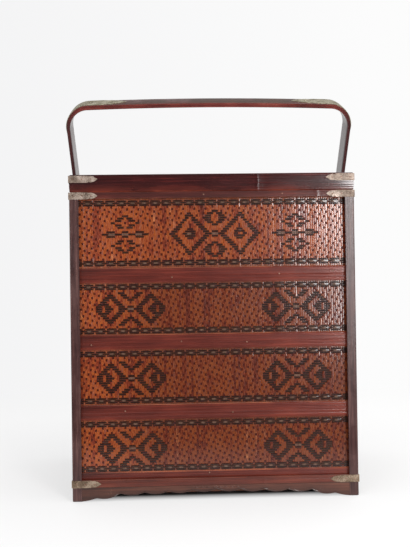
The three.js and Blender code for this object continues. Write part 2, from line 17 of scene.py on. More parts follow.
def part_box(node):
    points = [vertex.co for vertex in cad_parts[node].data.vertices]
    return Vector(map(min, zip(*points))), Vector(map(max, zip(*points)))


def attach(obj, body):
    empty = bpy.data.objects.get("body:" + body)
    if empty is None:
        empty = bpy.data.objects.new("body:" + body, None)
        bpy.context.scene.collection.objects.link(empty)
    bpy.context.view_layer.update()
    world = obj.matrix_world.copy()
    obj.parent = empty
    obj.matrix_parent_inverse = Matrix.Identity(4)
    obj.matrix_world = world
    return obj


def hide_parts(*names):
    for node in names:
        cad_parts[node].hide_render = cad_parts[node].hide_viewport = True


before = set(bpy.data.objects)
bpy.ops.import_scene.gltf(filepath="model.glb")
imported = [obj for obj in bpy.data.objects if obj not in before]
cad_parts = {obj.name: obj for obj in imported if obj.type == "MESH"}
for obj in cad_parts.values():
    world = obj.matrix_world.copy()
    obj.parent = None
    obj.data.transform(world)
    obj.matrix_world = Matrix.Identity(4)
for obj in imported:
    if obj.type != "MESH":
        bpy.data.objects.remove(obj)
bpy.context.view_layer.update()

scene = bpy.context.scene
print("solid nodes:", len(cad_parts))

# %% [markdown]
# The photograph was taken from in front, about a metre away, with the camera level with the
# middle of the basket, a little left of its centre, and tipped by less than a degree. The
# camera's place and lens come from fitting the solid's corners to theirs in the photograph.
# Its three axes are built one after the other: yaw, then pitch, then roll. The photograph is
# taller than it is wide, so the sensor's size stands for its height.

# %% Camera
PHOTO_HEIGHT = 547
FOCAL_PIXELS = 733.52
SENSOR = 36.0
CAMERA_PLACE = Vector((-0.0442, -1.1350, 0.2966))
YAW, PITCH, ROLL = (math.radians(angle) for angle in (-1.870, 0.596, -0.825))

level_right = Vector((math.cos(YAW), math.sin(YAW), 0))
level_ahead = Vector((-math.sin(YAW), math.cos(YAW), 0))
straight_up = Vector((0, 0, 1))
looking = level_ahead * math.cos(PITCH) + straight_up * math.sin(PITCH)
upright = straight_up * math.cos(PITCH) - level_ahead * math.sin(PITCH)
image_right = level_right * math.cos(ROLL) + upright * math.sin(ROLL)
image_up = upright * math.cos(ROLL) - level_right * math.sin(ROLL)

camera_data = bpy.data.cameras.new("photo_camera")
camera_data.sensor_width = SENSOR
camera_data.sensor_height = SENSOR
camera_data.lens = FOCAL_PIXELS / PHOTO_HEIGHT * SENSOR
camera_data.clip_start = 0.05
camera = bpy.data.objects.new("photo_camera", camera_data)
scene.collection.objects.link(camera)
turn = Matrix((image_right, image_up, -looking)).transposed().to_4x4()
camera.matrix_world = Matrix.Translation(CAMERA_PLACE) @ turn
scene.camera = camera
print("lens in mm:", round(camera_data.lens, 2))

# %% [markdown]
# Every finish is a small tree of nodes. Such a tree can be drawn by hand in the shader editor,
# but a script can make it again and change it in one place. These helpers keep the trees short:
# they make a node and fill its sockets, add and stretch values, and mix colours. Colours are
# written as the usual 0 to 255 screen values, and linear() turns them into the numbers that a
# shader works with.

# %% Node helpers
def linear(red, green, blue):
    def channel(value):
        value = value / 255
        if value <= 0.04045:
            return value / 12.92
        return ((value + 0.055) / 1.055) ** 2.4

    return (channel(red), channel(green), channel(blue), 1.0)


def fill(tree, socket, value):
    """Links a socket to another one or sets it. Three numbers for a colour are screen values."""
    if isinstance(value, bpy.types.NodeSocket):
        tree.links.new(value, socket)
    elif socket.type == "RGBA" and len(value) == 3:
        socket.default_value = linear(*value)
    else:
        socket.default_value = value


def node(tree, kind, sockets=None, **settings):
    made = tree.nodes.new(kind)
    for key, value in settings.items():
        setattr(made, key, value)
    for key, value in (sockets or {}).items():
        fill(tree, made.inputs[key], value)
    return made


def math_node(tree, operation, first, second, clamp=False):
    sockets = {0: first, 1: second}
    return node(tree, "ShaderNodeMath", sockets, operation=operation, use_clamp=clamp).outputs[0]


def plus(tree, first, second, clamp=False):
    return math_node(tree, "ADD", first, second, clamp)


def times(tree, first, second, clamp=False):
    return math_node(tree, "MULTIPLY", first, second, clamp)


def larger(tree, first, second):
    return math_node(tree, "MAXIMUM", first, second)


def weighted(tree, *parts):
    """The sum of some values, each times its own weight."""
    total = None
    for value, weight in parts:
        share = times(tree, value, weight)
        total = share if total is None else plus(tree, total, share)
    return total


def spread(tree, value, low, high, to_low=0.0, to_high=1.0):
    """Turns the range from low to high into another one, and holds the value at its ends."""
    sockets = {"Value": value, "From Min": low, "From Max": high}
    sockets.update({"To Min": to_low, "To Max": to_high})
    return node(tree, "ShaderNodeMapRange", sockets).outputs[0]


def vector_node(tree, operation, *vectors):
    sockets = dict(enumerate(vectors))
    return node(tree, "ShaderNodeVectorMath", sockets, operation=operation).outputs


def axis(tree, vector, letter):
    return node(tree, "ShaderNodeSeparateXYZ", {0: vector}).outputs[letter]


def mixed(tree, share, first, second):
    sockets = {0: share, 6: first, 7: second}
    return node(tree, "ShaderNodeMix", sockets, data_type="RGBA").outputs[2]


def ramp(tree, value, stops):
    made = node(tree, "ShaderNodeValToRGB", {"Fac": value})
    handles = made.color_ramp.elements
    while len(handles) < len(stops):
        handles.new(0.5)
    for handle, (position, colour) in zip(handles, stops):
        handle.position = position
        handle.color = linear(*colour)
    return made.outputs[0]


print("screen grey 128 is", round(linear(128, 128, 128)[0], 3), "to a shader")

# %% [markdown]
# Wood, lacquer and old metal are never even. A picture could give them their streaks, but it
# would show its seams and its repeats, so the finishes start from noise that is stretched along
# the grain. An attribute carries what a mesh knows about its own points, such as how worn an
# edge is. A finish ends in one shader. Its colour, roughness and normal vary over the surface,
# and its gloss is mostly the same everywhere.

# %% Noise, attributes and the shader
def noise(tree, coordinates, stretch, detail=3.0, roughness=0.55):
    mapping = node(tree, "ShaderNodeMapping", {"Vector": coordinates, "Scale": stretch})
    sockets = {"Vector": mapping.outputs[0], "Scale": 1.0}
    sockets.update({"Detail": detail, "Roughness": roughness})
    return node(tree, "ShaderNodeTexNoise", sockets).outputs["Fac"]


def attribute(tree, name, output="Fac"):
    return node(tree, "ShaderNodeAttribute", attribute_name=name).outputs[output]


def object_place(tree):
    return node(tree, "ShaderNodeTexCoord").outputs["Object"]


def bump(tree, height, distance, strength):
    sockets = {"Height": height, "Distance": distance, "Strength": strength}
    return node(tree, "ShaderNodeBump", sockets).outputs[0]


def new_finish(name, slot_colour):
    material = bpy.data.materials.new(name)
    material.use_nodes = True
    material.diffuse_color = linear(*slot_colour)
    tree = material.node_tree
    return material, tree, tree.nodes["Principled BSDF"]


VARYING = ("Base Color", "Roughness", "Normal")
GLOSS = ("Specular IOR Level", "Coat Weight", "Coat Roughness")


def connect(tree, shader, colour, roughness, normal, gloss):
    """Fills the shader. Gloss: the specular level, and the coat's weight and roughness."""
    for name, value in zip(VARYING + GLOSS, (colour, roughness, normal, *gloss)):
        fill(tree, shader.inputs[name], value)


print("a finish can vary in", ", ".join(VARYING))

# %% [markdown]
# The basket stood on a plain pale floor in front of a white backdrop. The floor here is a wide
# disc that scatters light and takes the shadow. From the basket's foot outwards it also glows to
# the camera, and far away it turns to plain white, so no horizon shows. Under the basket its
# colour is darkened as painted shade, like the gap below the aprons in the photograph. In the
# lacquer's reflections, the floor in front of the basket is dim, which keeps the lowest tier dark.

# %% Floor
WHITE, PALE = (252, 252, 252), (243, 243, 244)
DIM_FLOOR, PAINTED_SHADE_FLOOR = (58, 58, 60), (60, 56, 54)
FOOTPRINT = (0.195, 0.135, 0.0)
FLOOR_GLOW = 0.58


def backdrop(tree, direction):
    """White, and a little darker on the left."""
    return mixed(tree, spread(tree, axis(tree, direction, "X"), -0.3, 0.25), PALE, WHITE)


def floor_finish():
    material, tree, shader = new_finish("pale_floor", (240, 240, 238))
    tree.nodes.remove(shader)
    place = object_place(tree)
    beyond = vector_node(tree, "ABSOLUTE", place)[0]
    beyond = vector_node(tree, "SUBTRACT", beyond, FOOTPRINT)[0]
    clear = larger(tree, axis(tree, beyond, "X"), axis(tree, beyond, "Y"))
    distance = vector_node(tree, "LENGTH", place)["Value"]
    near_glow = spread(tree, clear, -0.026, -0.007, 0.0, FLOOR_GLOW)
    glow = larger(tree, spread(tree, distance, 0.36, 1.0), near_glow)
    paths = node(tree, "ShaderNodeLightPath").outputs
    in_front = spread(tree, axis(tree, place, "Y"), -0.18, -0.45)
    dim = times(tree, in_front, paths["Is Glossy Ray"])
    seen = plus(tree, paths["Is Camera Ray"], paths["Is Transmission Ray"])
    seen = plus(tree, seen, paths["Is Glossy Ray"], clamp=True)
    share = times(tree, larger(tree, glow, dim), seen)
    tint = mixed(tree, noise(tree, place, (3, 3, 3), 2.0), (243, 243, 242), (236, 236, 236))
    # Painted shade: the floor's colour turns dark under the basket.
    tint = mixed(tree, spread(tree, clear, -0.002, -0.024, 0.0, 0.93), tint, PAINTED_SHADE_FLOOR)
    matte = node(tree, "ShaderNodeBsdfDiffuse", {"Color": tint})
    ray = vector_node(tree, "SUBTRACT", place, tuple(CAMERA_PLACE))[0]
    ray = vector_node(tree, "NORMALIZE", ray)[0]
    colour = mixed(tree, dim, backdrop(tree, ray), DIM_FLOOR)
    lit = node(tree, "ShaderNodeEmission", {"Color": colour, "Strength": 1.0})
    sockets = {0: share, 1: matte.outputs[0], 2: lit.outputs[0]}
    blended = node(tree, "ShaderNodeMixShader", sockets).outputs[0]
    tree.links.new(blended, tree.nodes["Material Output"].inputs["Surface"])
    return material


def make_floor(radius=6.0, sides=96):
    mesh = bpy.data.meshes.new("floor")
    turns = [2 * math.pi * step / sides for step in range(sides)]
    rim = [(radius * math.cos(turn), radius * math.sin(turn), 0) for turn in turns]
    mesh.from_pydata(rim, [], [list(range(sides))])
    mesh.materials.append(floor_finish())
    floor = bpy.data.objects.new("floor", mesh)
    scene.collection.objects.link(floor)


make_floor()

# %% [markdown]
# The world does three jobs, told apart by the kind of ray. To the camera it is the white
# backdrop. Matte surfaces get an even light from it, a little stronger from above. In the glossy
# lacquer it shows as a white sheet behind the basket and a dim room in front, as in a studio:
# an evenly white world would turn the dark lacquer grey.

# %% World
WORLD_LOW, WORLD_HIGH, ROOM_SHINE = 0.5, 0.95, 0.05


def make_world():
    world = bpy.data.worlds.new("studio")
    scene.world = world
    world.use_nodes = True
    tree = world.node_tree
    direction = node(tree, "ShaderNodeTexCoord").outputs["Generated"]
    level = axis(tree, direction, "Z")
    behind = spread(tree, axis(tree, direction, "Y"), -0.15, 0.2)
    sheet = times(tree, behind, spread(tree, level, 0.2, 0.6, 1.0, 0.3))
    room = (ROOM_SHINE, ROOM_SHINE, ROOM_SHINE * 1.04, 1)
    shine = mixed(tree, sheet, room, WHITE)
    low_light, high_light = (WORLD_LOW,) * 3 + (1,), (WORLD_HIGH,) * 3 + (1,)
    even = mixed(tree, spread(tree, level, 0.0, 0.7), low_light, high_light)
    paths = node(tree, "ShaderNodeLightPath").outputs
    mirrored = plus(tree, paths["Is Glossy Ray"], paths["Is Transmission Ray"])
    light = mixed(tree, mirrored, even, shine)
    colour = mixed(tree, paths["Is Camera Ray"], light, backdrop(tree, direction))
    node_inputs = tree.nodes["Background"].inputs
    tree.links.new(colour, node_inputs["Color"])
    node_inputs["Strength"].default_value = 1.0


make_world()
print("world:", scene.world.name, "with", len(scene.world.node_tree.nodes), "nodes")

# %% [markdown]
# A large window on the right front lights the basket and shines in the lacquer, so the glints
# grow towards the right, as in the photograph. It is made of two lamps: the upper one shines in
# the top tier, and the one at the sill in the second. A narrow window on the left gives the left
# edge its shine, and a wide soft lamp overhead lights the handle, the lid and the floor.

# %% Lamps
LAMPS = {
    "window": ((0.79, -1.75, 0.67), (0.1, -0.1, 0.33), (0.47, 0.5), 16.0),
    "window_sill": ((0.84, -1.75, 0.22), (0.1, -0.1, 0.25), (0.42, 0.34), 8.0),
    "left_window": ((-0.8, -1.6, 0.5), (-0.1, -0.1, 0.3), (0.24, 0.5), 4.4),
    "overhead": ((0.1, -0.3, 1.9), (0, 0, 0.1), (1.8, 1.8), 13.0),
}
for name, (place, target, size, watts) in LAMPS.items():
    data = bpy.data.lights.new(name, "AREA")
    data.shape = "RECTANGLE"
    data.size, data.size_y = size
    data.energy = watts
    lamp = bpy.data.objects.new(name, data)
    lamp.location = place
    aim = Vector(target) - Vector(place)
    lamp.rotation_euler = aim.to_track_quat("-Z", "Y").to_euler()
    scene.collection.objects.link(lamp)
scene.view_settings.view_transform = "Standard"
print("lamps:", ", ".join(LAMPS))

# %% [markdown]
# Walls, rails and nails are made once, as seen from outside, and then turned to their side of
# the basket. A point is given as a distance along the wall, a height and a distance out of it.
# The sizes of the solid pieces come from the frame, so nothing is measured twice.

# %% Sides of the basket
MM = 0.001
ROUND = ("front", "right", "back", "left")
SIDES = {
    "front": ((1, 0, 0), (0, 0, 1), (0, -1, 0)),
    "right": ((0, 1, 0), (0, 0, 1), (1, 0, 0)),
    "back": ((-1, 0, 0), (0, 0, 1), (0, 1, 0)),
    "left": ((0, -1, 0), (0, 0, 1), (-1, 0, 0)),
    "top": ((1, 0, 0), (0, 1, 0), (0, 0, 1)),
}


def on_side(side, points, face):
    """Points (along, up, out) of a wall seen from outside, as places in the basket."""
    axes = np.array(SIDES[side], float)
    moved = np.asarray(points, float).copy()
    moved[..., 2] += face
    return moved @ axes


def side_reach(side, half_x, half_y):
    """How far out one side of a box stands, and half of that side's length."""
    return (half_y, half_x) if side in ("front", "back") else (half_x, half_y)


def box_mm(name):
    low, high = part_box(name)
    return np.array(low) / MM, np.array(high) / MM


body_half = box_mm("post_back_right")[1][:2]
print("posts reach", np.round(body_half, 1), "mm from the middle")

# %% [markdown]
# Most pieces are long and have one section, or a section that changes slowly. Pushing and
# pulling a box would take long and leave uneven faces, so most meshes here are lofts: rings of
# points joined by faces, with a face across each end. One function turns such rings into a
# closed shell, and one joins shells into a piece. The grain of the wood is stored on the points,
# so that streaks run along each piece on every side of the basket.

# %% Lofts and pieces
def shell_of_rings(rings, closed=False):
    """A closed shell from rings of points, with its faces outwards."""
    rings = np.array(rings, float)
    count, size = rings.shape[:2]
    numbers = np.arange(count * size).reshape(count, size)
    if closed:
        numbers = np.vstack([numbers, numbers[:1]])
    beside = np.roll(numbers, -1, axis=1)
    corners = (numbers[:-1], beside[:-1], beside[1:], numbers[1:])
    quads = np.stack(corners, axis=-1).reshape(-1, 4)
    ends = [] if closed else [numbers[0][::-1].tolist(), numbers[-1].tolist()]
    points = rings.reshape(-1, 3)
    first, second, third, fourth = (points[quads[:, corner]] for corner in range(4))
    volume = np.sum(first * np.cross(second, third)) + np.sum(first * np.cross(third, fourth))
    for end in ends:
        fan = points[end]
        volume += np.sum(fan[0] * np.cross(fan[1:-1], fan[2:]))
    faces = quads.tolist() + ends
    if volume < 0:
        faces = [face[::-1] for face in faces]
    return points, faces


def place_mesh(name, mesh, finish, body, nodes=(), sharp=32):
    """An object from a mesh, on its body. Edges that turn more than sharp degrees stay sharp."""
    mesh.materials.append(finish)
    mesh.shade_smooth()
    mesh.set_sharp_from_angle(angle=math.radians(sharp))
    piece = bpy.data.objects.new(name, mesh)
    scene.collection.objects.link(piece)
    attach(piece, body)
    if nodes:
        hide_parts(*nodes)
    return piece


def make_piece(name, shells, finish, body, nodes=(), sharp=32):
    """One object from closed shells. Each shell is (points, faces, values by attribute)."""
    points, faces, values = [], [], {}
    for shell_points, shell_faces, shell_values in shells:
        start = len(points)
        points.extend(shell_points.tolist())
        faces.extend([index + start for index in face] for face in shell_faces)
        for key, value in shell_values.items():
            values.setdefault(key, []).append(value)
    mesh = bpy.data.meshes.new(name)
    mesh.from_pydata((np.array(points) * MM).tolist(), [], faces)
    for key, rows in values.items():
        table = np.concatenate(rows)
        kind, field = ("FLOAT_VECTOR", "vector") if table.ndim == 2 else ("FLOAT", "value")
        mesh.attributes.new(key, kind, "POINT").data.foreach_set(field, table.ravel())
    return place_mesh(name, mesh, finish, body, nodes, sharp)


cube = [[(x, y, z) for x, y in ((0, 0), (1, 0), (1, 1), (0, 1))] for z in (0, 1)]
print("a loft of two square rings is a cube with", len(shell_of_rings(cube)[1]), "faces")

# %% [markdown]
# The walls are woven from split bamboo. Red warps stand upright, side by side, and dark wefts
# run round the tier under them. A weft comes to the front over one warp in five, which leaves
# the small dark dots, and each row's dots are two warps further on, so no line of dots forms.
# In a figure the wefts float over several warps, so the figure is drawn in level dark bars with
# stepped edges. A picture or a bump could imitate this, but strips that really pass over and
# under each other catch the light as the real ones do, so each strip is a mesh of its own.

# %% How the strips cross
WARP_PITCH = 3.08
WARP_HALF = {"over": 1.78, "under": 1.3, "border": 0.8, "margin": 1.5}
WEFT_HALF = 1.3
STRIP_THICKNESS = 0.3
STRIP_CROWN = 0.13
OVER_HEIGHT = 0.68
UNDER_HEIGHT = 0.1
SATIN = 5
DOT_SHIFT = 2
BORDER_ROW = 2.6
BORDER_STRAND = 1.22


def diamond(along, up, half_along, half_up):
    """Less than 1 inside a diamond, 1 on its edge."""
    return np.abs(along) / half_along + np.abs(up) / half_up


def row_bar(along, up, row, number, first, last):
    """A level bar on one row, counted from the figure's middle, between two distances."""
    reach = np.abs(along)
    return (np.abs(up - number * row) < row / 2) & (reach >= first) & (reach <= last)


def row_bars(along, up, row, bars):
    """The bars of a list. Each bar is (row, first distance, last distance)."""
    return np.any([row_bar(along, up, row, *bar) for bar in bars], axis=0)


def mirrored_bars(bars):
    """A list of bars together with the same bars below the middle."""
    return [(sign * number, first, last) for number, first, last in bars for sign in (1, -1)]


print("satin weave: one dot in", SATIN, "warps,", DOT_SHIFT, "warps further on each row")

# %% [markdown]
# Each figure is a rule that tells, for every crossing, whether the weft lies on top. A figure
# gives three marks: dark where the weft shows, quiet where the ground has no dots, and pale
# where a bar has a light middle, like the small lozenges between the diamonds. The diamonds were
# measured on the photograph in millimetres, and the short bars were counted there row by row.

# %% Figures of the weave
LOZENGE = mirrored_bars([(0, 4.7, 16), (1, 4.7, 12.6), (2, 1.6, 9.6), (3, 0, 4.7)])
FLOWER = [
    (3, 0, 3.8), (2, 2.5, 9.3), (1, 5, 12.9), (0, 13.2, 19.6), (0, 0, 1.6), (-1, 5, 12.9),
    (-2, 2.5, 9.3),
]
FLOWER_MIDDLE = [(0, 0, 10.5), (0, 12, 31)] + mirrored_bars([(1, 0, 4.7), (1, 13.5, 26.5)])
CHEVRONS = mirrored_bars([(3, 0, 1.6), (4, 0, 4.7), (5, 2.9, 10.8), (6, 6, 13.9), (7, 9, 17)])


def two_diamonds(along, up, row):
    """The upper tier's middle figure: two ringed diamonds with two lozenges between them."""
    dark, quiet, pale = (np.zeros(along.shape, bool) for _ in range(3))
    for sign in (-1, 1):
        off = along - sign * 34.3
        ring = (diamond(off, up, 29.4, 31) <= 1) & (diamond(off, up, 19.9, 22.5) >= 1)
        core = (diamond(off, up, 8.8, 14) <= 1) & (np.abs(up) < 2.5 * row)
        middle = row_bar(off, up, row, 0, 0, 3.2)
        if sign > 0:
            core &= ~middle
        else:
            pale |= middle
        tip = (np.abs(off) < 1.6) & (up > 0) & ((up < 4.5 * row) | (up > 8 * row))
        dark |= ring | core | (tip & (up < 9.5 * row))
        quiet |= diamond(off, up, 31, 34) <= 1
    for level in (-7, 7):
        rise = up - level * row
        dark |= row_bars(along, rise, row, LOZENGE)
        pale |= row_bar(along, rise, row, 0, 4.7, 8)
        quiet |= diamond(along, rise, 20, 17) <= 1
    dark |= row_bars(along, up, row, [(-1, 0, 3.2), (0, 0, 9), (1, 0, 3.2)])
    pale |= row_bar(along, up, row, 0, 0, 3.2)
    quiet |= (np.abs(along) < 12) & (np.abs(up) < 4 * row)
    return dark, quiet, pale


def open_flower(along, up, row):
    """The upper tier's side figure: two open diamonds of short bars, and a row of lozenges."""
    dark = row_bars(along, up, row, FLOWER_MIDDLE)
    for sign in (-1, 1):
        dark |= row_bars(along, up * sign - 5 * row, row, FLOWER)
    pale = row_bars(along, up, row, [(0, 0, 4.7), (0, 14, 24.5)])
    quiet = diamond(along, up, 42, 32) <= 1
    return dark, quiet, pale


def linked_pair(along, up, row, reach=27.7):
    """The lower tiers' figure: two diamonds that point at each other, with chevrons between."""
    dark, quiet = (np.zeros(along.shape, bool) for _ in range(2))
    for sign in (-1, 1):
        off = along - sign * reach
        shape = diamond(off, up, 21.4, 23.5)
        core = diamond(off - sign * 10.2, up, 13.7, 15.4) <= 1
        bare = (diamond(off, up, 11.9, 15.2) < 1) & ~core
        heart = (np.abs(off - sign * 10.4) < 1.7) & (np.abs(up) < 1.5 * row)
        dark |= (shape <= 1) & ~bare & ~heart
        quiet |= shape <= 1.12
    dark |= row_bars(along, up, row, CHEVRONS)
    dark |= row_bars(along, up, row, [(-1, 0, 4.7), (0, 0, reach - 19), (1, 0, 4.7)])
    pale = row_bar(along, up, row, 0, 0, 3.2)
    quiet |= (np.abs(along) <= reach) & (np.abs(up) <= 24)
    return dark, quiet, pale


print("bars of the open flower:", 2 * len(FLOWER) + len(FLOWER_MIDDLE))

# %% [markdown]
# A panel is planned as a table first: one column for each warp, one row for each weft, and a
# mark where the weft lies on top. A border of three rows runs along both edges of each band.
# Its outer rows are tied down by every fifth warp, and its middle strand is thicker and swells
# between the ties, which gives the chain of small lenses.

# %% Plan of a panel
def plan_panel(length, height, margins, ground_rows, figure_row, figures):
    """The plan of one panel, in which the warps stand along its length.

    Margins: the bare strips below and above the borders. Figure row: the row of the ground, from
    below, on which the figures are centred. Each figure is (rule, its middle, its options).
    """
    columns = int(round(length / WARP_PITCH)) // 2 * 2 + 1
    pitch = length / columns
    along = (np.arange(columns) - (columns - 1) / 2) * pitch
    below, above = margins
    row = (height - below - above - 6 * BORDER_ROW) / ground_rows
    border_rows = BORDER_ROW * (np.arange(3) + 0.5)
    ground_levels = below + 3 * BORDER_ROW + row * (np.arange(ground_rows) + 0.5)
    grid_along, grid_up = np.meshgrid(along, ground_levels - ground_levels[figure_row])
    dark, quiet, pale = marks = np.zeros((3, ground_rows, columns), bool)
    for figure, middle, options in figures:
        nearest = along[np.argmin(np.abs(along - middle))]
        marks |= np.array(figure(grid_along - nearest, grid_up, row, **options))
    down = np.arange(ground_rows)[::-1][:, None]
    dots = (np.arange(columns)[None, :] - DOT_SHIFT * down) % SATIN == 0
    beside_dark = dark | np.roll(dark, 1, axis=1) | np.roll(dark, -1, axis=1)
    tied = (np.arange(columns) - (columns - 1) // 2) % SATIN == 2
    border = np.vstack([~tied, np.ones(columns, bool), ~tied])
    bare = np.zeros(border.shape, bool)
    return {
        "along": along,
        "tied": tied,
        "size": (length, height),
        "table": np.vstack([border, dark | (dots & ~quiet & ~beside_dark), border]),
        "pale": np.vstack([bare, pale & dark, bare]),
        "levels": np.concatenate([
            below + border_rows, ground_levels, height - above - border_rows[::-1],
        ]),
        "kinds": ["edge", "strand", "edge"] + ["ground"] * ground_rows + ["edge", "strand", "edge"],
        "halves": [BORDER_STRAND] * 3 + [WEFT_HALF] * ground_rows + [BORDER_STRAND] * 3,
    }


print("a border of three rows is", round(3 * BORDER_ROW, 1), "mm high")

# %% [markdown]
# A strip's path only needs points where it changes its height, so that is where the sections
# go: level over the crossing strips, a short ramp, and level under them. A warp is widest on
# top, narrow where it ties a border, and plain in the bare strips at the panel's edges. Each
# point also has a kind, by which the finish makes the ties and the bare strips greyer.

# %% Paths of the warps
STRIP_END = 0.15
WARP_RAMP = (0.03, 0.5)
BORDER_OVERLAP = 0.1
TIED_WARP, MARGIN_WARP = 1.0, 0.7


def warp_path(plan, column):
    """Distance up, height, half width and kind where a warp changes height."""
    under = plan["table"][:, column]
    levels, halves = plan["levels"], plan["halves"]
    states = ["under" if here else "over" for here in under]
    low = levels[0] - BORDER_ROW / 2 - BORDER_OVERLAP
    high = levels[-1] + BORDER_ROW / 2 + BORDER_OVERLAP
    near, far = WARP_RAMP
    path = [(STRIP_END, states[0]), (low, states[0])]
    for row in np.flatnonzero(under[:-1] != under[1:]):
        if under[row]:
            edge = levels[row] + halves[row]
            path += [(edge + near, "under"), (edge + far, "over")]
        else:
            edge = levels[row + 1] - halves[row + 1]
            path += [(edge - far, "over"), (edge - near, "under")]
    path += [(high, states[-1]), (plan["size"][1] - STRIP_END, states[-1])]
    heights = {"over": OVER_HEIGHT, "under": UNDER_HEIGHT}
    rows = []
    for place, state in path:
        half, kind = WARP_HALF[state], 0.0
        if not low < place < high:
            half, kind = WARP_HALF["margin"], MARGIN_WARP
        elif state == "over" and not levels[2] < place < levels[-3]:
            half, kind = WARP_HALF["border"], TIED_WARP
        rows.append((place, heights[state], half, kind))
    return np.array(rows)


print("a warp changes height within", round(WARP_RAMP[1] - WARP_RAMP[0], 2), "mm")

# %% [markdown]
# A weft that floats over one warp or more reaches a little past them and narrows where it
# dives, so the floats of a border look like short pointed dashes. The middle strand of a border
# lies on top all the way and swells to a lens between two ties. Here the kind tells the finish
# which points are dots, border dashes, dark ties and pale lenses.

# %% Paths of the wefts
KINDS = {"float": 0.0, "dot": 0.25, "edge": 0.5, "tie": 0.65, "lens": 1.0}
WEFT_END = 0.1
WEFT_RAMP = 0.65
FLOAT_REACH = {"edge": 1.3, "ground": 0.95}
FLOAT_TIP = {"edge": 0.7, "ground": 1.0, "dot": 1.2}
EDGE_SHOULDER = 1.6
LENS_FADE = 0.4
STRAND_END = 0.8
STRAND_TIE = ((-2.2, 0.78, 0.9), (0, 0.66, 0.8), (2.2, 0.78, 0.9))
STRAND_LENS = (
    (-3.6, 0.9, 0.8, "tie"), (-1.6, 1.02, 1.0, "lens"), (1.6, 1.02, 1.0, "lens"),
    (3.6, 0.9, 0.8, "tie"),
)


def weft_path(plan, row):
    """Distance along, height, half width and kind where a weft changes height."""
    over, pale = plan["table"][row], plan["pale"][row]
    along, limit = plan["along"], plan["size"][0] / 2 - WEFT_END
    half, kind = plan["halves"][row], plan["kinds"][row]
    if kind == "strand":
        return strand_path(plan, half)
    before, after = np.append(False, over[:-1]), np.append(over[1:], False)
    end_heights = [OVER_HEIGHT if over[place] else UNDER_HEIGHT for place in (0, -1)]
    path = [(-limit, end_heights[0], half, KINDS["float"])]
    for first, last in zip(np.flatnonzero(over & ~before), np.flatnonzero(over & ~after)):
        mark = KINDS["edge"] if kind == "edge" else KINDS["dot" if first == last else "float"]
        start, end = along[first], along[last]
        tip = half * FLOAT_TIP["dot" if first == last else kind]
        reach = FLOAT_REACH[kind]
        if first > 0:
            path.append((start - reach - WEFT_RAMP, UNDER_HEIGHT, tip, mark))
            path.append((start - reach, OVER_HEIGHT, tip, mark))
        if kind == "edge" and last > first:
            path.append((start + EDGE_SHOULDER, OVER_HEIGHT, half, mark))
            path.append((end - EDGE_SHOULDER, OVER_HEIGHT, half, mark))
        for place in range(first + 1, last + 1):
            if pale[place] != pale[place - 1]:
                edge = (along[place] + along[place - 1]) / 2
                sides = (mark, KINDS["lens"]) if pale[place] else (KINDS["lens"], mark)
                path.append((edge - LENS_FADE, OVER_HEIGHT, half, sides[0]))
                path.append((edge + LENS_FADE, OVER_HEIGHT, half, sides[1]))
        if last < len(along) - 1:
            path.append((end + reach, OVER_HEIGHT, tip, mark))
            path.append((end + reach + WEFT_RAMP, UNDER_HEIGHT, tip, mark))
    path.append((limit, end_heights[1], half, KINDS["float"]))
    return np.array(path)


def strand_path(plan, half):
    """The border's middle strand: dark and narrow at each tie, a pale lens between two ties."""
    end = plan["size"][0] / 2
    ties = plan["along"][plan["tied"]]
    dark = KINDS["tie"]
    path = [(WEFT_END - end, STRAND_END, half, dark)]
    for tie, following in zip(ties, np.append(ties[1:], end)):
        path += [(tie + step, height, half * wide, dark) for step, height, wide in STRAND_TIE]
        if following < end:
            middle = (tie + following) / 2
            path += [
                (middle + step, height, half * wide, KINDS[kind])
                for step, height, wide, kind in STRAND_LENS
            ]
    path.append((end - WEFT_END, STRAND_END, half, dark))
    return np.array(path)


print("a weft rises", round(OVER_HEIGHT - UNDER_HEIGHT, 2), "mm to pass over a warp")

# %% [markdown]
# A section has four points, two edges, a crown and the underside, which is enough for a strip a
# third of a millimetre thick. The UV map lays all strips flat, side by side, each face in a slot
# of its own, so that the colours can be baked sharply.

# %% Mesh of a strip
MAP_SLICES = np.array([0.02, 0.40, 0.78, 0.87, 0.96])
MAP_GAP = 0.01
MAP_ENDS = np.array([[0.001, 0.001, 0.008, 0.008], [0.992, 0.992, 0.999, 0.999]])
MAP_END_SLICES = np.array([[0.1, 0.3, 0.3, 0.1]] * 2)


def strip_rings(path, centre, lean, upright):
    """Sections of one strip as (along, up, out) points: edge, crown, edge, underside."""
    run, height, half = path[:, :3].T
    middle = np.full(len(run), centre)
    across = np.stack([middle - half, middle, middle + half, middle], axis=1)
    levels = [height - lean, height + STRIP_CROWN, height + lean, height - STRIP_THICKNESS]
    runs = np.repeat(run[:, None], 4, axis=1)
    order = (across, runs) if upright else (runs, across)
    return np.stack([*order, np.stack(levels, axis=1)], axis=-1)


def new_bundle():
    return {"points": [], "faces": [], "maps": [], "tone": [], "kind": [], "count": 0}


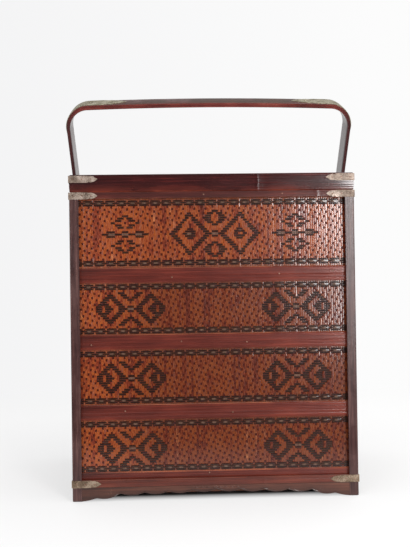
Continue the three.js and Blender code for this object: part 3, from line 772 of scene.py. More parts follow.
def add_strip(bundle, place, rings, upright, slot, tone, kind):
    """Adds one strip to a bundle. The slot is its rectangle in the UV map."""
    count = len(rings)
    numbers = bundle["count"] + np.arange(count * 4).reshape(count, 4)
    beside = np.roll(numbers, -1, axis=1)
    run = rings[:, 0, 1] if upright else rings[:, 0, 0]
    share = (run - run[0]) / (run[-1] - run[0]) * (1 - 2 * MAP_GAP) + MAP_GAP
    shape = (count - 1, 4)
    before, after = (np.broadcast_to(part[:, None], shape) for part in (share[:-1], share[1:]))
    first = np.broadcast_to(MAP_SLICES[:-1], shape)
    second = np.broadcast_to(MAP_SLICES[1:] - MAP_GAP, shape)
    layers = [
        (numbers[:-1], before, first), (beside[:-1], before, second),
        (beside[1:], after, second), (numbers[1:], after, first),
    ]
    ends = np.array([numbers[0][::-1], numbers[-1]])
    if not upright:
        layers, ends = layers[::-1], ends[:, ::-1]
    quads, along, across = (
        np.stack(layer, axis=-1).reshape(-1, 4) for layer in zip(*layers)
    )
    along = np.vstack([along, MAP_ENDS])
    across = np.vstack([across, MAP_END_SLICES])
    left, low, width, tall = slot
    flat = (across, along) if upright else (along, across)
    bundle["points"].append(place(rings).reshape(-1, 3))
    bundle["faces"].append(np.vstack([quads, ends]))
    bundle["maps"].append(np.stack([left + width * flat[0], low + tall * flat[1]], axis=-1))
    bundle["tone"].append(np.full(count * 4, tone))
    bundle["kind"].append(np.repeat(kind, 4))
    bundle["count"] += count * 4


print("a strip's section:", len(MAP_SLICES) - 1, "points")

# %% [markdown]
# A tier has some 430 warps and 23 to 30 wefts. An object for each strip would be slow and hard
# to handle, so the points of all warps are gathered in one bundle and those of all wefts in
# another, and each bundle is written into its mesh at once, which takes a second instead of a
# minute. Split bamboo varies, so each strip gets a tone of its own, and each warp leans a little.
# The random numbers start from a fixed seed, so the basket comes out the same each time.

# %% Weave of a panel
WEAVE_PARTS = ("warps", "wefts")
rng = np.random.default_rng(41)


def new_bundles():
    return {part: new_bundle() for part in WEAVE_PARTS}


def weave_panel(bundles, plan, side, face, bottom, slot):
    """Adds the strips of one panel to the bundles of warps and wefts."""
    def place(points):
        return on_side(side, points + np.array([0.0, bottom, 0.0]), face)

    left, low, width, tall = slot
    columns, rows = len(plan["along"]), len(plan["levels"])
    tone = rng.normal(0.5, 0.12, columns).clip(0.28, 1)
    lean = rng.normal(0, 0.03, columns)
    for column, centre in enumerate(plan["along"]):
        path = warp_path(plan, column)
        rings = strip_rings(path, centre, lean[column], True)
        share = (left + width * column / columns, low, width / columns, tall)
        add_strip(bundles["warps"], place, rings, True, share, tone[column], path[:, 3])
    tone = rng.normal(0.5, 0.2, rows).clip(0, 1)
    for row, centre in enumerate(plan["levels"]):
        path = weft_path(plan, row)
        rings = strip_rings(path, centre, 0.0, False)
        share = (left, low + tall * row / rows, width, tall / rows)
        add_strip(bundles["wefts"], place, rings, False, share, tone[row], path[:, 3])


def bundle_mesh(name, bundle):
    points = np.concatenate(bundle["points"]) * MM
    faces = np.concatenate(bundle["faces"])
    mesh = bpy.data.meshes.new(name)
    mesh.vertices.add(len(points))
    mesh.vertices.foreach_set("co", points.ravel())
    mesh.loops.add(faces.size)
    mesh.loops.foreach_set("vertex_index", faces.ravel())
    mesh.polygons.add(len(faces))
    mesh.polygons.foreach_set("loop_start", np.arange(len(faces)) * 4)
    mesh.polygons.foreach_set("loop_total", np.full(len(faces), 4))
    mesh.update(calc_edges=True)
    store = mesh.uv_layers.new(name="OFBake")
    store.data.foreach_set("uv", np.concatenate(bundle["maps"]).ravel())
    for key in ("tone", "kind"):
        values = mesh.attributes.new(key, "FLOAT", "POINT")
        values.data.foreach_set("value", np.concatenate(bundle[key]))
    mesh.validate()
    return mesh


print("strips are gathered in", len(WEAVE_PARTS), "bundles:", ", ".join(WEAVE_PARTS))

# %% [markdown]
# The warps are dyed orange-red under a clear lacquer, each strip a slightly different red, from
# orange to a pinkish brown. Painted shade darkens them away from the left edge, most in the lower
# tiers, and a warp that ties a border is greyer. The wefts are almost black, with a painted sheen
# of green or violet here and there, their dots are tinted red-brown as a painted reflection of the
# red warps, and the lenses of the borders are painted greyish brown as highlights. All are glossy,
# so the crowned strips break the window's reflection into short upright glints.

# %% Finishes of the strips
def warp_finish():
    material, tree, shader = new_finish("red_warp", (170, 82, 50))
    place = object_place(tree)
    patches = noise(tree, place, (90, 90, 60))
    fibre = noise(tree, place, (900, 900, 190))
    uneven = times(tree, math_node(tree, "SUBTRACT", patches, 0.5), 0.8)
    streaky = times(tree, math_node(tree, "SUBTRACT", fibre, 0.5), 1.1)
    tone = plus(tree, attribute(tree, "tone"), uneven)
    tone = plus(tree, tone, streaky, clamp=True)
    colour = ramp(tree, tone, [
        (0.0, (64, 33, 17)), (0.2, (92, 31, 16)), (0.4, (115, 45, 18)),
        (0.58, (142, 69, 21)), (0.76, (104, 45, 34)), (1.0, (178, 104, 56)),
    ])
    tied = times(tree, attribute(tree, "kind"), 0.55)
    colour = mixed(tree, tied, colour, (106, 66, 52))
    # Painted shade: the warps darken away from the left edge, most in the lower tiers.
    upper_tier = spread(tree, axis(tree, place, "Z"), 0.29, 0.33)
    off_left = spread(tree, axis(tree, place, "X"), -0.16, -0.07)
    painted_shade = times(tree, off_left, spread(tree, upper_tier, 0, 1, 0.48, 0.16))
    colour = mixed(tree, painted_shade, colour, (38, 10, 6))
    roughness = spread(tree, fibre, 0.3, 0.7, 0.22, 0.34)
    normal = bump(tree, fibre, 0.00012, 0.7)
    connect(tree, shader, colour, roughness, normal, (0.25, 0.75, 0.12))
    return material


def weft_finish():
    material, tree, shader = new_finish("dark_weft", (52, 42, 38))
    place = object_place(tree)
    kind = attribute(tree, "kind")
    fibre = noise(tree, place, (70, 70, 900))
    patches = noise(tree, place, (30, 30, 30), 2.0)
    tone = times(tree, attribute(tree, "tone"), patches)
    tone = plus(tree, times(tree, tone, 1.1), 0.1)
    colour = ramp(tree, tone, [
        (0.0, (26, 11, 8)), (0.35, (38, 17, 10)), (0.62, (46, 25, 15)), (1.0, (56, 39, 32)),
    ])
    # Painted sheen: patches of olive and violet over the dark wefts.
    painted_sheen = noise(tree, place, (260, 260, 260), 2.0)
    colour = mixed(tree, spread(tree, painted_sheen, 0.42, 0.3, 0.0, 0.55), colour, (44, 36, 14))
    colour = mixed(tree, spread(tree, painted_sheen, 0.55, 0.68, 0.0, 0.6), colour, (54, 26, 34))
    # Painted reflection: the dots are tinted red-brown, as if lit by the red warps round them.
    rising = spread(tree, kind, KINDS["float"], KINDS["dot"])
    falling = spread(tree, kind, KINDS["edge"], KINDS["dot"])
    dot = times(tree, times(tree, rising, falling), 0.85)
    colour = mixed(tree, dot, colour, (62, 17, 9))
    # Painted highlight: the border strands' lenses turn greyish brown, and the same colour gives
    # the pale middles of the figures' bars.
    lens = spread(tree, kind, KINDS["tie"], KINDS["lens"])
    lens = times(tree, lens, spread(tree, painted_sheen, 0.3, 0.7, 0.4, 0.95))
    colour = mixed(tree, lens, colour, (100, 74, 60))
    roughness = spread(tree, fibre, 0.3, 0.7, 0.28, 0.45)
    normal = bump(tree, fibre, 0.00012, 0.6)
    connect(tree, shader, colour, roughness, normal, (0.12, 0.7, 0.08))
    return material


WEAVE_FINISHES = {"warps": warp_finish(), "wefts": weft_finish()}
print("strip finishes:", [finish.name for finish in WEAVE_FINISHES.values()])

# %% [markdown]
# The upper tier is the tallest and has the richest band: two ringed diamonds in the middle and
# an open flower on each side. The three lower tiers repeat one figure, a pair of linked
# diamonds, near both ends. The short sides weren't photographed. They get the same borders and
# one smaller figure on each side of the stile, as such a basket usually has. Each weave starts
# at the upper edge of its tier's battens, which are a little lower on the lowest tier.

# %% Weave the four tiers
TIERS = {
    "tier_1": {"margins": (2.5, 2.7), "rows": 24, "figure_row": 11},
    "tier_2": {"margins": (1.0, 1.2), "rows": 17, "figure_row": 8},
    "tier_3": {"margins": (1.7, 1.7), "rows": 18, "figure_row": 8},
    "tier_4": {"margins": (0.3, 1.7), "rows": 17, "figure_row": 7},
}
BATTEN_TOPS = {"tier_1": 20.8, "tier_2": 20.8, "tier_3": 20.8, "tier_4": 19.2}
UPPER_FIGURES = {
    "long": [(two_diamonds, 3.8, {}), (open_flower, -121, {}), (open_flower, 113, {})],
    "short": [(open_flower, -70, {}), (open_flower, 70, {})],
}
LOWER_FIGURES = {
    "long": [(linked_pair, -112.6, {}), (linked_pair, 112.6, {})],
    "short": [(linked_pair, -71, {"reach": 25.5}), (linked_pair, 71, {"reach": 25.5})],
}
MAP_SIDE = 0.245


def place_weave(prefix, bundles, body, node_name):
    for part, bundle in bundles.items():
        name = f"{prefix}_{part}"
        mesh = bundle_mesh(name, bundle)
        place_mesh(name, mesh, WEAVE_FINISHES[part], body, (node_name,), 28)
        print(f"{name}:", len(mesh.polygons), "faces")


def weave_tier(tier, margins, rows, figure_row):
    node_name = f"{tier}_woven_box"
    low, high = box_mm(node_name)
    bottom = low[2] + BATTEN_TOPS[tier]
    bundles = new_bundles()
    figures = UPPER_FIGURES if tier == "tier_1" else LOWER_FIGURES
    for index, side in enumerate(("front", "back", "left", "right")):
        face, half = side_reach(side, high[0], high[1])
        shown = figures["long" if side in ("front", "back") else "short"]
        plan = plan_panel(2 * half, high[2] - bottom, margins, rows, figure_row, shown)
        slot = (0.0, index / 4, half / high[0], MAP_SIDE)
        weave_panel(bundles, plan, side, face, bottom, slot)
    place_weave(tier, bundles, tier, node_name)


for tier, options in TIERS.items():
    weave_tier(tier, **options)

# %% [markdown]
# Battens, rails and the lid's frame are slats split from thick bamboo. Planing leaves shallow
# ridges along them, the wall of the stem bows the face a little, and the edges are rounded. A
# bump in the finish could only fake the ridges, and the edge of a slat would stay straight, so
# they are in the outline of the slat's section.

# %% Face of a slat
EDGE_ROUNDNESS = 0.8
WORN_WIDTH, WORN_SHARE = 1.1, 0.6
LEDGE_STEP, LEDGE_GROOVE = 0.3, 0.35


def ridged_face(height, bow, rounding, grooves, ledge=0.0, steps=34):
    """Heights up a slat's face, how far each lies inside it, and how pale it is worn; a ledge is
    painted pale as a highlight.
    """
    up = np.linspace(0, height, steps)
    inwards = bow * (2 * up / height - 1) ** 2
    for edge in (up, height - up):
        near = np.clip(1 - edge / rounding, 0, 1)
        inwards += rounding * (1 - np.sqrt(1 - near**2)) * EDGE_ROUNDNESS
    for level, depth, width in grooves:
        inwards += depth * np.exp(-(((up - level) / width) ** 2))
    wear_and_highlight = np.clip(1 - np.minimum(up, height - up) / WORN_WIDTH, 0, 1) * WORN_SHARE
    if ledge:
        lit_ledge = up > height - ledge
        inwards += np.where(lit_ledge, 0.0, LEDGE_STEP)
        inwards += LEDGE_GROOVE * np.exp(-(((up - height + ledge) / LEDGE_GROOVE) ** 2))
        # Painted highlight: the ledge is mixed fully to the pale colour, where light catches it.
        wear_and_highlight = np.where(lit_ledge, 1.0, wear_and_highlight)
    return up, inwards, wear_and_highlight


def plain_back(thickness, height):
    """The two inner corners of a slat: depth, height and place in the grain."""
    return [(thickness, height, height + 2), (thickness, 0.0, -2.0)]


plain_face = ridged_face(BATTEN_TOPS["tier_1"], 0.25, 0.9, [])
print("a batten's edges lie", round(plain_face[1].max(), 2), "mm inside the middle of its face")

# %% [markdown]
# Here and there a growth ring crosses a slat as a low ridge, and no slat is quite straight. A
# slat is lofted from equal sections, whose face moves in and out: quickly at a growth ring,
# slowly along the rest. Its ends are mitred, or cut square between two posts.

# %% Builder of slats
SLAT_STATIONS = 27
RING_STEPS = (-3, -1.6, -0.8, 0, 0.8, 1.6, 3)
MITRE_GAP = 0.15


def waviness(run, seed, size):
    waves = sum(
        math.sin(run / length + seed * number) / number
        for number, length in ((1, 41.0), (2, 17.0), (3, 9.0))
    )
    return size * waves


def slat_shell(side, face, half_run, bottom, profile, back, rings=(), swell=(0.28, 1.4),
               mitred=True, seed=0.0, wave=0.05, back_wear=0.2):
    """A slat on one side of the basket, mitred at its ends or cut square between two posts.

    The profile comes from ridged_face, and each row of the back is a depth, a height and a
    place in the grain. A growth ring swells by the first number over the second one's length.
    """
    up, inwards, wear_and_highlight = profile
    back = np.array(back)
    rise, reach = swell
    runs = set(np.linspace(-1, 1, SLAT_STATIONS))
    for ring in rings:
        runs |= {(ring + step) / half_run for step in RING_STEPS}
    sections, places = [], []
    for share in sorted(runs):
        run = share * half_run
        ridge = sum(rise * math.exp(-(((run - ring) / reach) ** 2)) for ring in rings)
        depth = np.maximum(0, inwards + waviness(run, seed, wave) + 2 * wave - ridge)
        depths = np.append(depth, back[:, 0])
        end = half_run - depths - MITRE_GAP if mitred else np.full(len(depths), half_run)
        along = share * end
        section = np.stack([along, np.append(up, back[:, 1]) + bottom, -depths], axis=1)
        sections.append(on_side(side, section, face))
        grain = [along, np.append(up, back[:, 2]), np.full(len(along), seed * 37.0)]
        places.append(np.stack(grain, axis=1) * MM)
    points, faces = shell_of_rings(sections)
    wear_and_highlight_mix = np.tile(np.append(wear_and_highlight, np.full(len(back), back_wear)), len(sections))
    return points, faces, {"grain": np.concatenate(places), "wear_and_highlight_mix": wear_and_highlight_mix}


print("stations along a slat:", SLAT_STATIONS, "and", len(RING_STEPS), "more at each growth ring")

# %% [markdown]
# One recipe colours all the slats: streaks that are long in the direction of the grain and
# narrow across it, from a dark lacquer to a redder one, and paler where an edge is rubbed and,
# as a painted highlight, on a batten's ledge. Painted light makes the slats a little paler towards
# the basket's right, and painted shade a little darker at its left end. The recipe takes the
# colours, because the lid is darker and the lower battens are redder.

# %% Finish of the slats
def slat_finish(name, dark, mid, light, rubbed_and_highlight, gloss=0.3, painted_light_right=0.1, coat=0.45, darkening=None):
    material, tree, shader = new_finish(name, mid)
    grain = attribute(tree, "grain", "Vector")
    broad = noise(tree, grain, (5, 260, 1), 2.0)
    fine = noise(tree, grain, (22, 1500, 1))
    cloud = noise(tree, grain, (16, 40, 1))
    tone = weighted(tree, (broad, 0.55), (fine, 0.3), (cloud, 0.35))
    aside = axis(tree, object_place(tree), "X")
    # Painted light: paler towards the basket's right. Painted shade: a little darker at its left
    # end.
    tone = plus(tree, tone, spread(tree, aside, 0.03, 0.19, 0.0, painted_light_right))
    tone = plus(tree, tone, spread(tree, aside, -0.19, 0.05, -0.04, 0.0))
    colour = ramp(tree, tone, [(0.44, dark), (0.61, mid), (0.82, light)])
    patchy = spread(tree, cloud, 0.35, 0.6)
    # Wear, and on a batten's ledge a painted highlight, mix in the paler colour.
    share = times(tree, attribute(tree, "wear_and_highlight_mix"), patchy, clamp=True)
    colour = mixed(tree, share, colour, rubbed_and_highlight)
    # On the aprons: darker towards the lower edge and on the back, and painted shade along the top.
    if darkening:
        colour = mixed(tree, attribute(tree, "darkening"), colour, darkening)
    roughness = spread(tree, fine, 0.3, 0.7, gloss, gloss + 0.12)
    normal = bump(tree, tone, 0.00025, 0.6)
    connect(tree, shader, colour, roughness, normal, (0.2, coat, gloss / 2))
    return material


batten_bamboo = slat_finish(
    "batten_bamboo", (60, 20, 15), (84, 30, 22), (116, 47, 32), (140, 74, 46), 0.26, 0.14,
)
lid_bamboo = slat_finish(
    "lid_bamboo", (32, 11, 12), (50, 16, 16), (82, 27, 23), (112, 48, 34), 0.17, 0.03, 0.9,
)
rail_lacquer = slat_finish(
    "rail_lacquer", (42, 17, 16), (64, 24, 20), (94, 38, 29), (124, 66, 52),
)
base_bamboo = slat_finish(
    "base_bamboo", (58, 22, 15), (83, 33, 22), (110, 50, 34), (120, 66, 50),
)
slat_finishes = (batten_bamboo, lid_bamboo, rail_lacquer, base_bamboo)
print("slat finishes:", [finish.name for finish in slat_finishes])

# %% [markdown]
# Each tier has a ring of four battens round its lower edge. They are nailed over the woven
# wall and stand prouder than the weave, and a narrow ledge runs along their upper edge, painted
# pale as a highlight.

# %% Battens
BATTEN_THICKNESS = 3.0
BATTEN_GROOVES = [
    (2.6, 0.16, 0.35), (4.9, 0.3, 0.3), (7.1, 0.14, 0.4), (9.6, 0.34, 0.32),
    (12.4, 0.18, 0.35), (14.3, 0.3, 0.3), (16.4, 0.15, 0.35),
]


def make_battens(tier, number):
    name = f"{tier}_batten_ring"
    low, high = box_mm(name)
    height = BATTEN_TOPS[tier]
    profile = ridged_face(height, 0.25, 0.9, BATTEN_GROOVES, ledge=1.2)
    back = plain_back(BATTEN_THICKNESS, height)
    shells = []
    for index, side in enumerate(ROUND):
        face, half_run = side_reach(side, high[0], high[1])
        seed = number + 0.3 * index
        shells.append(slat_shell(side, face, half_run, low[2], profile, back, seed=seed))
    return make_piece(f"{tier}_battens", shells, batten_bamboo, tier, (name,))


for number, tier in enumerate(TIERS):
    print(make_battens(tier, number).name)

# %% [markdown]
# The rim rails lie on top of the posts and are mitred at the corners. The base rails stand
# between the posts, just above the aprons. Both are slats like the battens, with their own
# heights and colours, and they replace the plain rails of the solid model. Each rail has one
# growth ring, at a share of the way from its middle to its end.

# %% Rim and base rails
RAIL_THICKNESS = 5.0
RIM_GROOVES = [(2.1, 0.2, 0.3), (4.4, 0.26, 0.3), (6.6, 0.2, 0.3)]
BASE_GROOVES = [(2.4, 0.22, 0.3), (4.6, 0.14, 0.35), (6.4, 0.26, 0.3)]


def make_rails(prefix, finish, grooves, mitred, ring_shares):
    for index, side in enumerate(ROUND):
        name = f"{prefix}_{side}"
        low, high = box_mm(name)
        face, half_run = side_reach(side, *body_half)
        if not mitred:
            half_run = side_reach(side, high[0], high[1])[1]
        height = high[2] - low[2]
        profile = ridged_face(height, 0.15, 0.8, grooves, steps=20)
        back = plain_back(RAIL_THICKNESS, height)
        rings = (ring_shares[index] * half_run,)
        shell = slat_shell(
            side, face, half_run, low[2], profile, back, rings, mitred=mitred,
            seed=0.7 * index + 2,
        )
        make_piece(f"{name}_slat", [shell], finish, "frame", (name,))
    print(f"{prefix}:", len(ROUND), "slats", round(height, 1), "mm high")


make_rails("rim_rail", rail_lacquer, RIM_GROOVES, True, (0.74, -0.4, 0.2, 0.5))
make_rails("base_rail", base_bamboo, BASE_GROOVES, False, (0.36, 0.1, -0.6, -0.2))

# %% [markdown]
# The lid's frame is made of thicker slats with a rounded bamboo face. Their top is flat, and a
# rabbet inside carries the woven panel, so the section has the same steps as the solid one,
# with the ridges only on the outer face.

# %% Lid rails
LID_GROOVES = [
    (3.4, 0.2, 0.4), (6.2, 0.12, 0.5), (9.7, 0.22, 0.35), (13.5, 0.12, 0.5),
    (17.2, 0.2, 0.4), (20.6, 0.14, 0.4),
]
LID_RINGS = {"front": (62.0,), "right": (-40.0,), "back": (-90.0, 60.0), "left": (25.0,)}
LID_THICKNESS, LID_LEDGE, LID_LEDGE_HEIGHT = 14.0, 6.0, 17.0
LID_BEVEL, LID_TOP_EDGE = 0.4, 2.2


def lid_section(height):
    """The rail's outer face and its back, for slat_shell."""
    up, inwards, wear_and_highlight = ridged_face(height, 0.55, 1.5, LID_GROOVES, steps=30)
    wear_and_highlight = np.where(up < 1.6, 1.0, 0.35 * np.clip((10 - up) / 8, 0, 1))
    step = LID_THICKNESS - LID_LEDGE
    corners = [
        (LID_TOP_EDGE, height), (step - LID_BEVEL, height), (step, height - LID_BEVEL),
        (step, LID_LEDGE_HEIGHT), (LID_THICKNESS, LID_LEDGE_HEIGHT), (LID_THICKNESS, 0.0),
    ]
    back = [(depth, level, height + depth) for depth, level in corners]
    return (up, inwards, wear_and_highlight), back


for index, (side, rings) in enumerate(LID_RINGS.items()):
    name = f"lid_rail_{side}"
    low, high = box_mm(name)
    face, half_run = side_reach(side, *body_half)
    profile, back = lid_section(high[2] - low[2])
    shell = slat_shell(
        side, face, half_run, low[2], profile, back, rings, swell=(0.22, 1.9),
        seed=1.3 * index, wave=0.07, back_wear=0.15,
    )
    make_piece(f"{name}_slat", [shell], lid_bamboo, "lid", (name,))
print("lid rails:", len(LID_RINGS), "slats", round(high[2] - low[2], 1), "mm high")

# %% [markdown]
# A tier is more than its weave. Thin boards line it, a bead covers each corner where the strips
# turn, and a floor is laid from boards with narrow joints. These three shapes are lofts too: the
# lining is a ring of four sections that closes on itself, a board is one bevelled section, and a
# bead is a quarter round on a short leg.

# %% Linings, boards and beads
BEAD = 2.6
BEAD_PROUD, BEAD_LEG = 0.9, 1.0
JOINT, BEVEL = 0.1, 0.35


def wall_ring(half_x, half_y, thickness, bottom, top, steps=6):
    """A closed wall round a rectangle, with its grain running round the tier."""
    levels = np.linspace(bottom, top, steps)
    outline = [(0.0, level) for level in levels] + [(thickness, level) for level in levels[::-1]]
    sections = [
        [(sign_x * (half_x - inwards), sign_y * (half_y - inwards), level)
         for inwards, level in outline]
        for sign_x, sign_y in ((-1, -1), (1, -1), (1, 1), (-1, 1))
    ]
    points, faces = shell_of_rings(sections, closed=True)
    grain = np.stack([points[:, 0] + points[:, 1], points[:, 2], points[:, 0] * 0], axis=1)
    return points, faces, {"grain": grain * MM, "wear_and_highlight_mix": np.zeros(len(points))}


def board_shell(low, high, seed):
    """A flat board with small bevels along its upper and lower edges."""
    outline = [
        (low[1], low[2] + BEVEL), (low[1], high[2] - BEVEL), (low[1] + BEVEL, high[2]),
        (high[1] - BEVEL, high[2]), (high[1], high[2] - BEVEL), (high[1], low[2] + BEVEL),
        (high[1] - BEVEL, low[2]), (low[1] + BEVEL, low[2]),
    ]
    runs = np.linspace(low[0], high[0], 4)
    points, faces = shell_of_rings([[(run, *corner) for corner in outline] for run in runs])
    grain = np.stack([points[:, 0], points[:, 1], np.full(len(points), seed)], axis=1)
    return points, faces, {"grain": grain * MM, "wear_and_highlight_mix": np.zeros(len(points))}


def floor_boards(half_x, half_y, bottom, top, seeds):
    """A floor of boards side by side, one for each seed, with narrow joints between them."""
    width = 2 * half_y / len(seeds)
    boards = []
    for number, seed in enumerate(seeds):
        start = -half_y + number * width
        low = (-half_x, start + JOINT, bottom)
        high = (half_x, start + width - JOINT, top)
        boards.append(board_shell(low, high, seed))
    return boards


def corner_bead(sign_x, sign_y, half_x, half_y, bottom, top):
    """A quarter-round strip that covers the woven strips' ends at a corner."""
    turns = np.linspace(0, math.pi / 2, 6)
    centre_x, centre_y = half_x - BEAD + BEAD_PROUD, half_y - BEAD + BEAD_PROUD
    plan = [
        (centre_x + BEAD * math.cos(turn), centre_y + BEAD * math.sin(turn)) for turn in turns
    ]
    plan += [
        (centre_x - BEAD_LEG, centre_y + BEAD), (centre_x - BEAD_LEG, centre_y - BEAD_LEG),
        (centre_x + BEAD, centre_y - BEAD_LEG),
    ]
    levels = np.linspace(bottom, top, 5)
    rings = [[(sign_x * x, sign_y * y, level) for x, y in plan] for level in levels]
    points, faces = shell_of_rings(rings)
    grain = np.stack([points[:, 2], points[:, 0] + points[:, 1], points[:, 0] * 0], axis=1)
    return points, faces, {"grain": grain * MM, "wear_and_highlight_mix": np.full(len(points), 0.3)}


print("joints between boards:", 2 * JOINT, "mm")

# %% [markdown]
# Behind the weave each tier has its lining, which carries the strips and closes the wall, so no
# light falls through. The beads and the floor belong to the same piece, because they move and
# look alike.

# %% Lining and floor of each tier
WALL_THICKNESS = 3.0
LINING_BACK = 0.35
FLOOR_RAISE, FLOOR_THICKNESS, FLOOR_BOARDS = 3.5, 2.5, 6


def make_lining(tier, number):
    name = f"{tier}_woven_box"
    low, high = box_mm(name)
    outer_x, outer_y = high[:2] - LINING_BACK
    inner_x, inner_y = high[:2] - WALL_THICKNESS
    shells = [wall_ring(outer_x, outer_y, WALL_THICKNESS - LINING_BACK, low[2], high[2])]
    floor_low = low[2] + FLOOR_RAISE
    floor_high = floor_low + FLOOR_THICKNESS
    seeds = [11 * board + number for board in range(FLOOR_BOARDS)]
    shells += floor_boards(inner_x, inner_y, floor_low, floor_high, seeds)
    bead_low, bead_high = low[2] + BATTEN_TOPS[tier] + 0.1, high[2] - 0.1
    shells += [
        corner_bead(sign_x, sign_y, high[0], high[1], bead_low, bead_high)
        for sign_x in (-1, 1) for sign_y in (-1, 1)
    ]
    return make_piece(f"{tier}_lining", shells, lining_bamboo, tier, (name,))


lining_bamboo = slat_finish(
    "lining_bamboo", (60, 30, 22), (84, 42, 28), (108, 60, 38), (120, 74, 48), 0.42,
)
for number, tier in enumerate(TIERS):
    print(make_lining(tier, number).name)

# %% [markdown]
# The posts, stiles and inner frames keep their solid shapes and only get a finish. The posts
# are lacquered a dark purple-brown over upright grain, and the lacquer is worn greyish here and
# there. The parts inside, which nobody looks at, are plain reddish-brown bamboo with less shine.

# %% Finishes of the posts and of the parts inside
def board_finish(name, stretch, dark, mid, light, gloss, coat):
    material, tree, shader = new_finish(name, mid)
    place = object_place(tree)
    streak = noise(tree, place, stretch)
    fine = noise(tree, place, tuple(3.5 * value for value in stretch), 2.0)
    cloud = noise(tree, place, (22, 22, 22))
    tone = weighted(tree, (streak, 0.5), (fine, 0.25), (cloud, 0.35))
    colour = ramp(tree, tone, [(0.4, dark), (0.56, mid), (0.74, light)])
    roughness = spread(tree, cloud, 0.35, 0.65, gloss - 0.07, gloss + 0.1)
    normal = bump(tree, tone, 0.0003, 0.6)
    connect(tree, shader, colour, roughness, normal, (0.2, coat, 0.22))
    return material


def finish_nodes(starts, finish):
    """Gives a finish to the solid nodes whose names start in one of these ways."""
    for name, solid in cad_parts.items():
        if name.startswith(starts):
            solid.data.materials.clear()
            solid.data.materials.append(finish)


post_lacquer = board_finish(
    "post_lacquer", (420, 420, 14), (44, 25, 25), (66, 41, 39), (98, 69, 64), 0.28, 0.34,
)
PLAIN_BAMBOO = ((64, 34, 24), (92, 52, 34), (124, 76, 50), 0.5, 0.05)
inside_along = board_finish("inside_along", (12, 420, 420), *PLAIN_BAMBOO)
inside_across = board_finish("inside_across", (420, 12, 420), *PLAIN_BAMBOO)
inner_frames = tuple(f"{tier}_inner_frame" for tier in TIERS)
finish_nodes(("post_", "side_stile"), post_lacquer)
finish_nodes(("base_bearer", "base_board", "lid_locating") + inner_frames, inside_along)
finish_nodes(("lid_batten",), inside_across)
print("inner frames with a finish:", len(inner_frames))

# %% [markdown]
# The corner plates and the plates on the handle's bends are thin sheet metal, a greyish brass
# that has dulled to a speckled patina. The nails are small domed heads of a browner metal.

# %% Metal finishes
def patina_finish(name, dark, mid, light, metal, rough):
    material, tree, shader = new_finish(name, mid)
    place = object_place(tree)
    speckle = noise(tree, place, (700, 700, 700), 3.0, 0.7)
    cloud = noise(tree, place, (90, 90, 90), 4.0)
    tone = weighted(tree, (speckle, 0.6), (cloud, 0.55))
    colour = ramp(tree, tone, [(0.42, dark), (0.55, mid), (0.7, light)])
    roughness = spread(tree, tone, 0.4, 0.75, rough + 0.18, rough - 0.06)
    normal = bump(tree, tone, 0.0002, 0.7)
    connect(tree, shader, colour, roughness, normal, (0.3,))
    shader.inputs["Metallic"].default_value = metal
    return material


plate_metal = patina_finish(
    "plate_metal", (60, 46, 38), (126, 110, 98), (178, 162, 151), 0.5, 0.5,
)
base_metal = patina_finish("base_metal", (58, 44, 32), (114, 95, 78), (160, 142, 124), 0.6, 0.46)
bend_metal = patina_finish(
    "bend_metal", (96, 90, 72), (150, 142, 120), (190, 184, 164), 0.6, 0.42,
)
nail_metal = patina_finish("nail_metal", (74, 50, 42), (118, 84, 70), (158, 124, 106), 0.7, 0.42)
finish_nodes(("rim_plate", "lid_plate", "pivot_washer"), plate_metal)
finish_nodes(("base_plate",), base_metal)
finish_nodes(("pivot_pin",), nail_metal)
print("metals:", [metal.name for metal in (plate_metal, base_metal, bend_metal, nail_metal)])

# %% [markdown]
# The aprons between the feet are cut to a row of shallow lobes that meet in points, with a
# bracket and a toe beside each post. A curve drawn by hand would fit one side only. A rule for
# the height of the lower edge fits the long and the short sides alike.

# %% Outline of the aprons
APRON_CREST, STEP_DOWN, LOBE_DEPTH, LOBE_PITCH = 13.6, 0.85, 3.3, 32.0
BRACKET_WIDTH, BRACKET_POWER, BRACKET_DEPTH = 52.0, 2.2, 2.0
TOE_WIDTH, TOE_CREST, TOE_DEPTH, TOE_CLEARANCE = 20.0, 4.7, 0.7, 0.6


def apron_edge(run, half_run):
    """Height of the apron's lower edge at a distance from its middle."""
    run = abs(run)
    scallops = half_run - BRACKET_WIDTH
    lobes = max(1, round(scallops / LOBE_PITCH))
    pitch = scallops / lobes
    if run < scallops:
        place = run / pitch
        share = place - math.floor(place)
        return APRON_CREST - STEP_DOWN * place - LOBE_DEPTH * math.sin(math.pi * share)
    shoulder = APRON_CREST - STEP_DOWN * lobes
    toe = half_run - TOE_WIDTH
    if run < toe:
        share = (run - scallops) / (toe - scallops)
        fall = (shoulder - TOE_CREST) * (1 - share) ** BRACKET_POWER
        return TOE_CREST + fall - BRACKET_DEPTH * math.sin(math.pi * share)
    share = min(1.0, (run - toe) / TOE_WIDTH)
    fall = (TOE_CLEARANCE - TOE_CREST) * share
    return TOE_CREST + fall - TOE_DEPTH * math.sin(math.pi * share)


print("the front apron is cut up to", round(apron_edge(0, body_half[0]), 1), "mm in its middle")

# %% [markdown]
# The aprons carry a little shallow carving: a line that follows the scalloped edge, a lozenge
# row in the middle and a curl in each bracket. The real carving is worn beyond reading, so this
# is a plain one of its kind. The face is a fine grid whose points are pressed in by the carving,
# closed by a flat back. It is darker towards its lower edge and on its back, carries a line of
# painted shade along its top under the base rail, and is paler in the carved lines.

